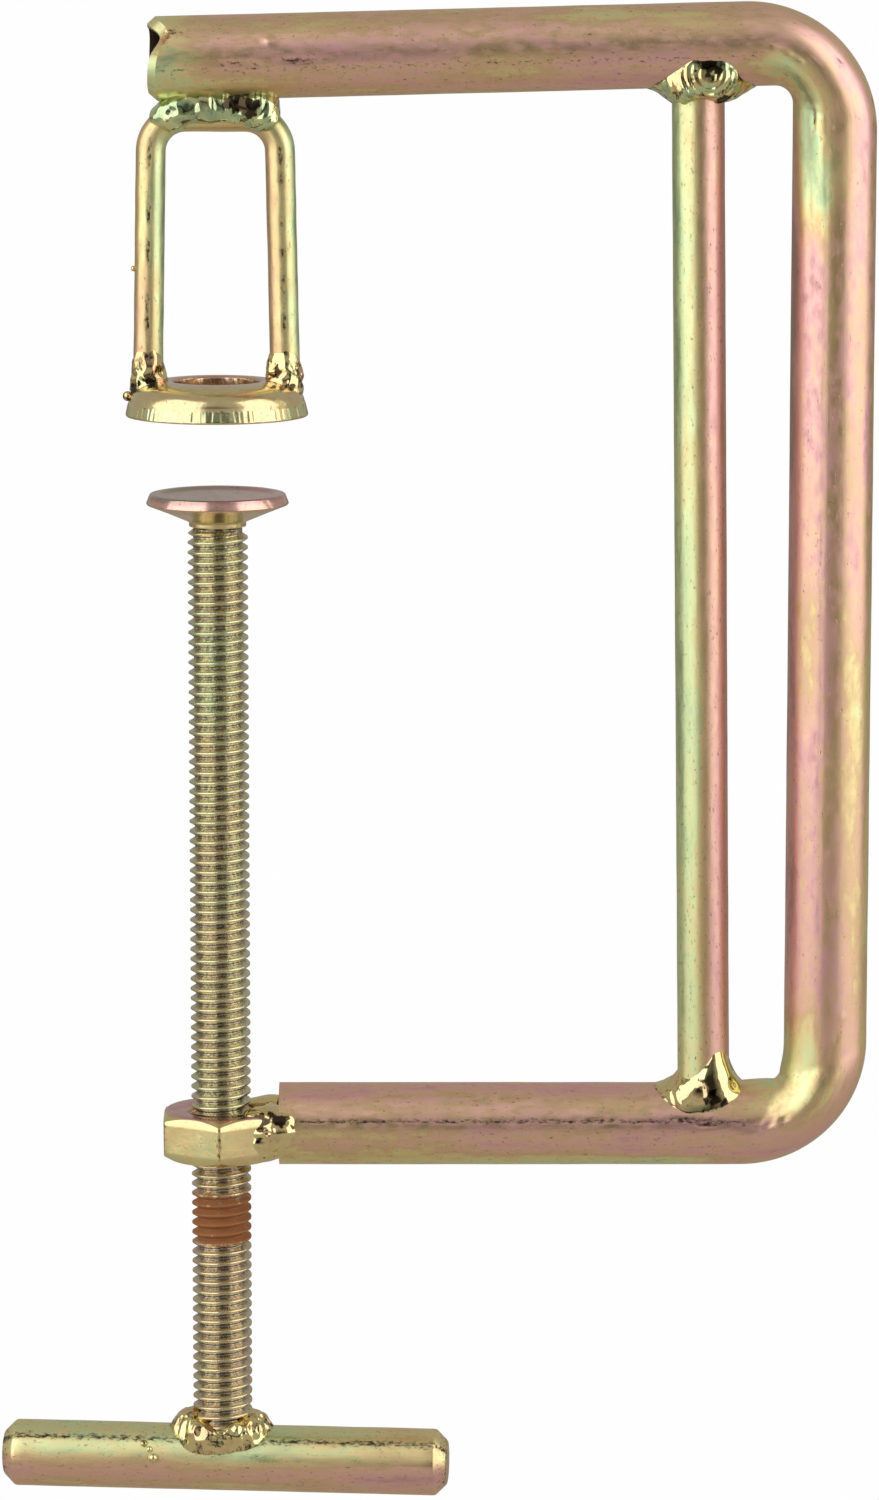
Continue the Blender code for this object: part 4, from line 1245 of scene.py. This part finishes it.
def make_brace_welds(finish):
    toe = on_tube(TUBE_R + LAP)
    upper = upper_arm_point(BRACE_TOP_X)
    top, low = upper.z / MM, LOWER_ARM_Z / MM
    collar_bead(
        "weld_brace_top", Matrix.Translation(upper) @ Matrix.Rotation(math.pi - ARM_DROOP, 4, "Y"),
        BRACE_R, toe, 3.0, 3.3, 2.2, 1.1, "frame", finish, 64, (0.16, 0.36, 0.4), 0.30, 0.24, 1.2,
        lobes=(
            (0, 32, 1.6, 0.0, 0.6), (180, 30, 0.8, 0.0, 0.0),
            (-58, 30, 1.2, 0.8, 2.3), (-118, 30, 0.0, 0.8, 1.7),
        ),
        dents=(((77.0, -6.9, top - 4.2), 0.75, 0.6), ((73.2, -6.9, top - 3.2), 1.3, 0.35)),
        ripples=(((76.6, -6.6, top - 4.2), 1.6, 8.5, 1.05, 0.26),),
        scale=(((76.6, -6.9, top - 3.2), 1.7), ((78.6, -4.0, top - 8.6), 1.4)),
    )
    collar_bead(
        "weld_brace_bottom", Matrix.Translation((BRACE_BOTTOM_X, 0, LOWER_ARM_Z)),
        BRACE_R, toe, 2.2, 2.7, 2.0, 0.7, "frame", finish, 73, (0.28, 0.16, 0.0), 0.12, 0.05, 0.5,
        lobes=(
            (-60, 46, 0.2, 4.4, 0.6), (-140, 36, 1.6, -0.2, 0.1),
            (180, 26, 1.2, 0.3, 0.0), (0, 26, 0.3, 0.6, 0.2),
        ),
        dents=(((76.2, -6.0, low + 6.0), 1.6, 0.5), ((81.6, -3.6, low + 7.0), 0.8, 0.3)),
        ripples=(((78.6, -5.4, low + 7.6), 6.2, 10.5, 1.1, 0.16),),
        scale=(
            ((77.0, -5.6, low + 10.2), 1.1), ((76.6, -6.2, low + 7.6), 1.5),
            ((78.4, -6.2, low + 5.6), 1.8), ((80.2, -5.6, low + 4.4), 1.1),
        ),
    )


def make_leg_welds(finish):
    for name, side, seed, lobes, spatter, scale in (
        (
            "weld_leg_left", -1, 101,
            ((-120, 40, 0.1, 1.2, 0.1), (0, 40, 0.6, -0.6, 0.0)),
            (((-13.9, -0.8, 3.1), 0.8), ((-12.85, -0.3, 23.0), 0.45)),
            (((-12.6, -2.0, 3.6), 1.5), ((-10.6, -2.6, 5.6), 0.8)),
        ),
        (
            "weld_leg_right", 1, 112,
            ((-60, 40, 0.3, 0.6, 0.3), (180, 40, 0.5, -0.4, 0.2)),
            (((12.9, -2.0, 6.2), 0.5), ((12.4, -2.2, 7.6), 0.4)),
            (((11.4, -2.8, 3.8), 1.4), ((9.6, -2.4, 7.4), 0.7)),
        ),
    ):
        foot = side * YOKE_BOTTOM_HALF
        collar_bead(
            name, Matrix.Translation((foot, 0, 0)), YOKE_R + 2 * LAP, on_ring(foot), 0.2, 0.7, 4.4, 0.35,
            "frame", finish, seed, (0.32, 0.2, 0.5), 0.42, 0.60, 1.3,
            lobes=lobes, spatter=spatter, scale=scale,
        )


def make_bar_weld(finish):
    place = Matrix.Translation((0, 0, BAR_Z)) @ Matrix.Rotation(BAR_TURN, 4, "Z")
    bar = BAR_Z / MM
    collar_bead(
        "weld_handle", place, SCREW_R - 2 * LAP, on_tube(BAR_R + LAP), 2.5, 1.5, 2.5, 1.9,
        "spindle", finish, 141, (0.30, 0.16, 0.4), 0.45, 0.85,
        lobes=(
            (180, 40, 1.3, 0.4, 0.6), (0, 40, 0.6, 0.4, 0.0),
            (-135, 30, 1.0, 0.2, 0.6), (-45, 30, 0.6, 0.2, 0.4),
        ),
        ripples=(((0.0, -4.6, bar + 5.5), 4.4, 9.0, 1.2, 0.14),),
        spatter=(
            ((-12.6, -3.3, bar + 3.2), 0.6), ((-11.7, -3.9, bar + 2.4), 0.5),
            ((-11.1, -4.4, bar + 1.1), 0.75),
        ),
    )


def make_yoke_welds(finish):
    crown = YOKE_HIGH.z / MM
    for name, side, seed in (("weld_yoke_front", -1, 81), ("weld_yoke_back", 1, 91)):
        drops = [
            (x, side * 1.6, crown - 0.9 + lift, 3.0, depth, 2.8)
            for x, lift, depth in (
                (-6.7, -1.1, 2.4), (-5.4, -0.2, 2.8), (-4.0, 0.1, 2.7), (-2.2, 0.2, 2.2), (-0.4, 0.2, 1.9),
                (1.4, 0.3, 2.0), (3.2, 0.3, 2.5), (5.0, 0.3, 2.6), (6.4, 0.1, 2.3), (7.0, -1.0, 2.2),
            )
        ]
        drops += [(8.8, side, crown - 1.2, 1.2, 2.0, 3.3), (-9.0, side, crown - 2.2, 1.2, 2.0, 1.8)]
        run_bead(
            name, drops, "frame", finish, seed, (0.06, 0.30, 0.2), 0.34, 0.20,
            dents=(((-6.6, side * 4.0, crown - 1.2), 0.7, 0.5), ((3.4, side * 4.0, crown - 1.0), 1.6, 0.5)),
            ripples=(((4.6, side * 3.4, crown + 0.6), 1.6, 5.5, 1.7, 0.16),),
            scale=(((2.4, side * 4.2, crown + 0.4), 2.0), ((5.2, side * 4.2, crown - 0.4), 2.2)),
        )


def make_nut_welds(finish):
    end, arm = LOWER_END_X / MM, LOWER_ARM_Z / MM
    for name, side, seed in (("weld_nut_front", -1, 123), ("weld_nut_back", 1, 131)):
        drops = [
            (end - 2.2 + out, side * (depth - 2.6), arm + lift, 5.3, 3.3, 2.3)
            for lift, out, depth in ((-3.0, -0.8, 6.2), (-1.6, 0.0, 6.9), (0.0, 0.8, 7.2), (1.4, 1.2, 6.6))
        ]
        # a small star where the pool froze last: a pit with a knob on each side
        star = (end - 1.6, side * 8.0, arm + 0.2)
        knobs = [
            ((star[0] + across, star[1], star[2] + up), 0.4, depth)
            for across, up, depth in (
                (-0.7, 0.5, -0.25), (0.7, 0.4, -0.25), (0.0, -0.9, -0.25), (0.0, 1.2, -0.2),
            )
        ]
        run_bead(
            name, drops, "frame", finish, seed, (0.30, 0.10, 0.0), 0.26, 0.12,
            dents=[((end - 3.2, side * 7.6, arm + 2.0), 1.6, 0.7), (star, 0.35, 0.25), *knobs],
            scale=(((end - 3.0, side * 7.2, arm + 2.2), 2.0), ((end + 0.6, side * 7.2, arm + 2.0), 1.2)),
        )


# ---------------------------------------------------------------- the whole clamp


def main():
    make_camera()
    make_world()
    make_lights()
    make_floor()
    # Drawn tube, bent and plated: satin, with tints that run along it and dark flecks of scale
    tube = yellow_zinc(
        "plated_drawn_tube", 0.34, streak=(3, 16), streak_drift=0.34, mottle=(1.2, 2.6), mottle_drift=0.24,
        rusts=True, metallic=0.92,
    )
    # Drawn rod: satin, with fine lines along it
    rod = yellow_zinc(
        "plated_drawn_rod", 0.35, streak=(2.5, 30), streak_drift=0.2, mottle_drift=0.14, metallic=0.92
    )
    # Blanked and turned jaws: smooth and bright
    jaw = yellow_zinc("plated_pressed_jaws", 0.18, streak=(3, 3), mottle=(1.5, 1.5), line_depth=0, bare=0.12)
    # Cold-formed nut: bright flats
    nut = yellow_zinc("plated_cold_formed_nut", 0.2, streak=(4, 4), mottle=(1.5, 1.5), line_depth=0)
    # Rolled thread: bright crests, painted shade in the roots, rust below the nut
    thread = yellow_zinc("plated_rolled_thread", 0.24, streak=(2, 6), line_depth=0, rusts=True, bare=0.4)
    # Cut bar: satin with dark tool marks and a painted dark reflection line
    bar = yellow_zinc(
        "plated_cut_bar", 0.32, streak=(2, 12), streak_drift=0.2, mottle_drift=0.18, metallic=0.92
    )
    # Weld metal: set from a liquid, so as smooth as a mirror under its coat
    weld = yellow_zinc(
        "plated_weld_metal", 0.07, streak=(2, 2), mottle=(0.8, 0.8), line_depth=0, pit_depth=0.003
    )
    make_frame_tube(tube)
    make_brace(rod)
    make_yoke(rod)
    make_ring(jaw)
    make_nut(nut)
    make_disc(jaw)
    make_screw(thread)
    make_bar(bar)
    make_brace_welds(weld)
    make_yoke_welds(weld)
    make_leg_welds(weld)
    make_nut_welds(weld)
    make_bar_weld(weld)


main()
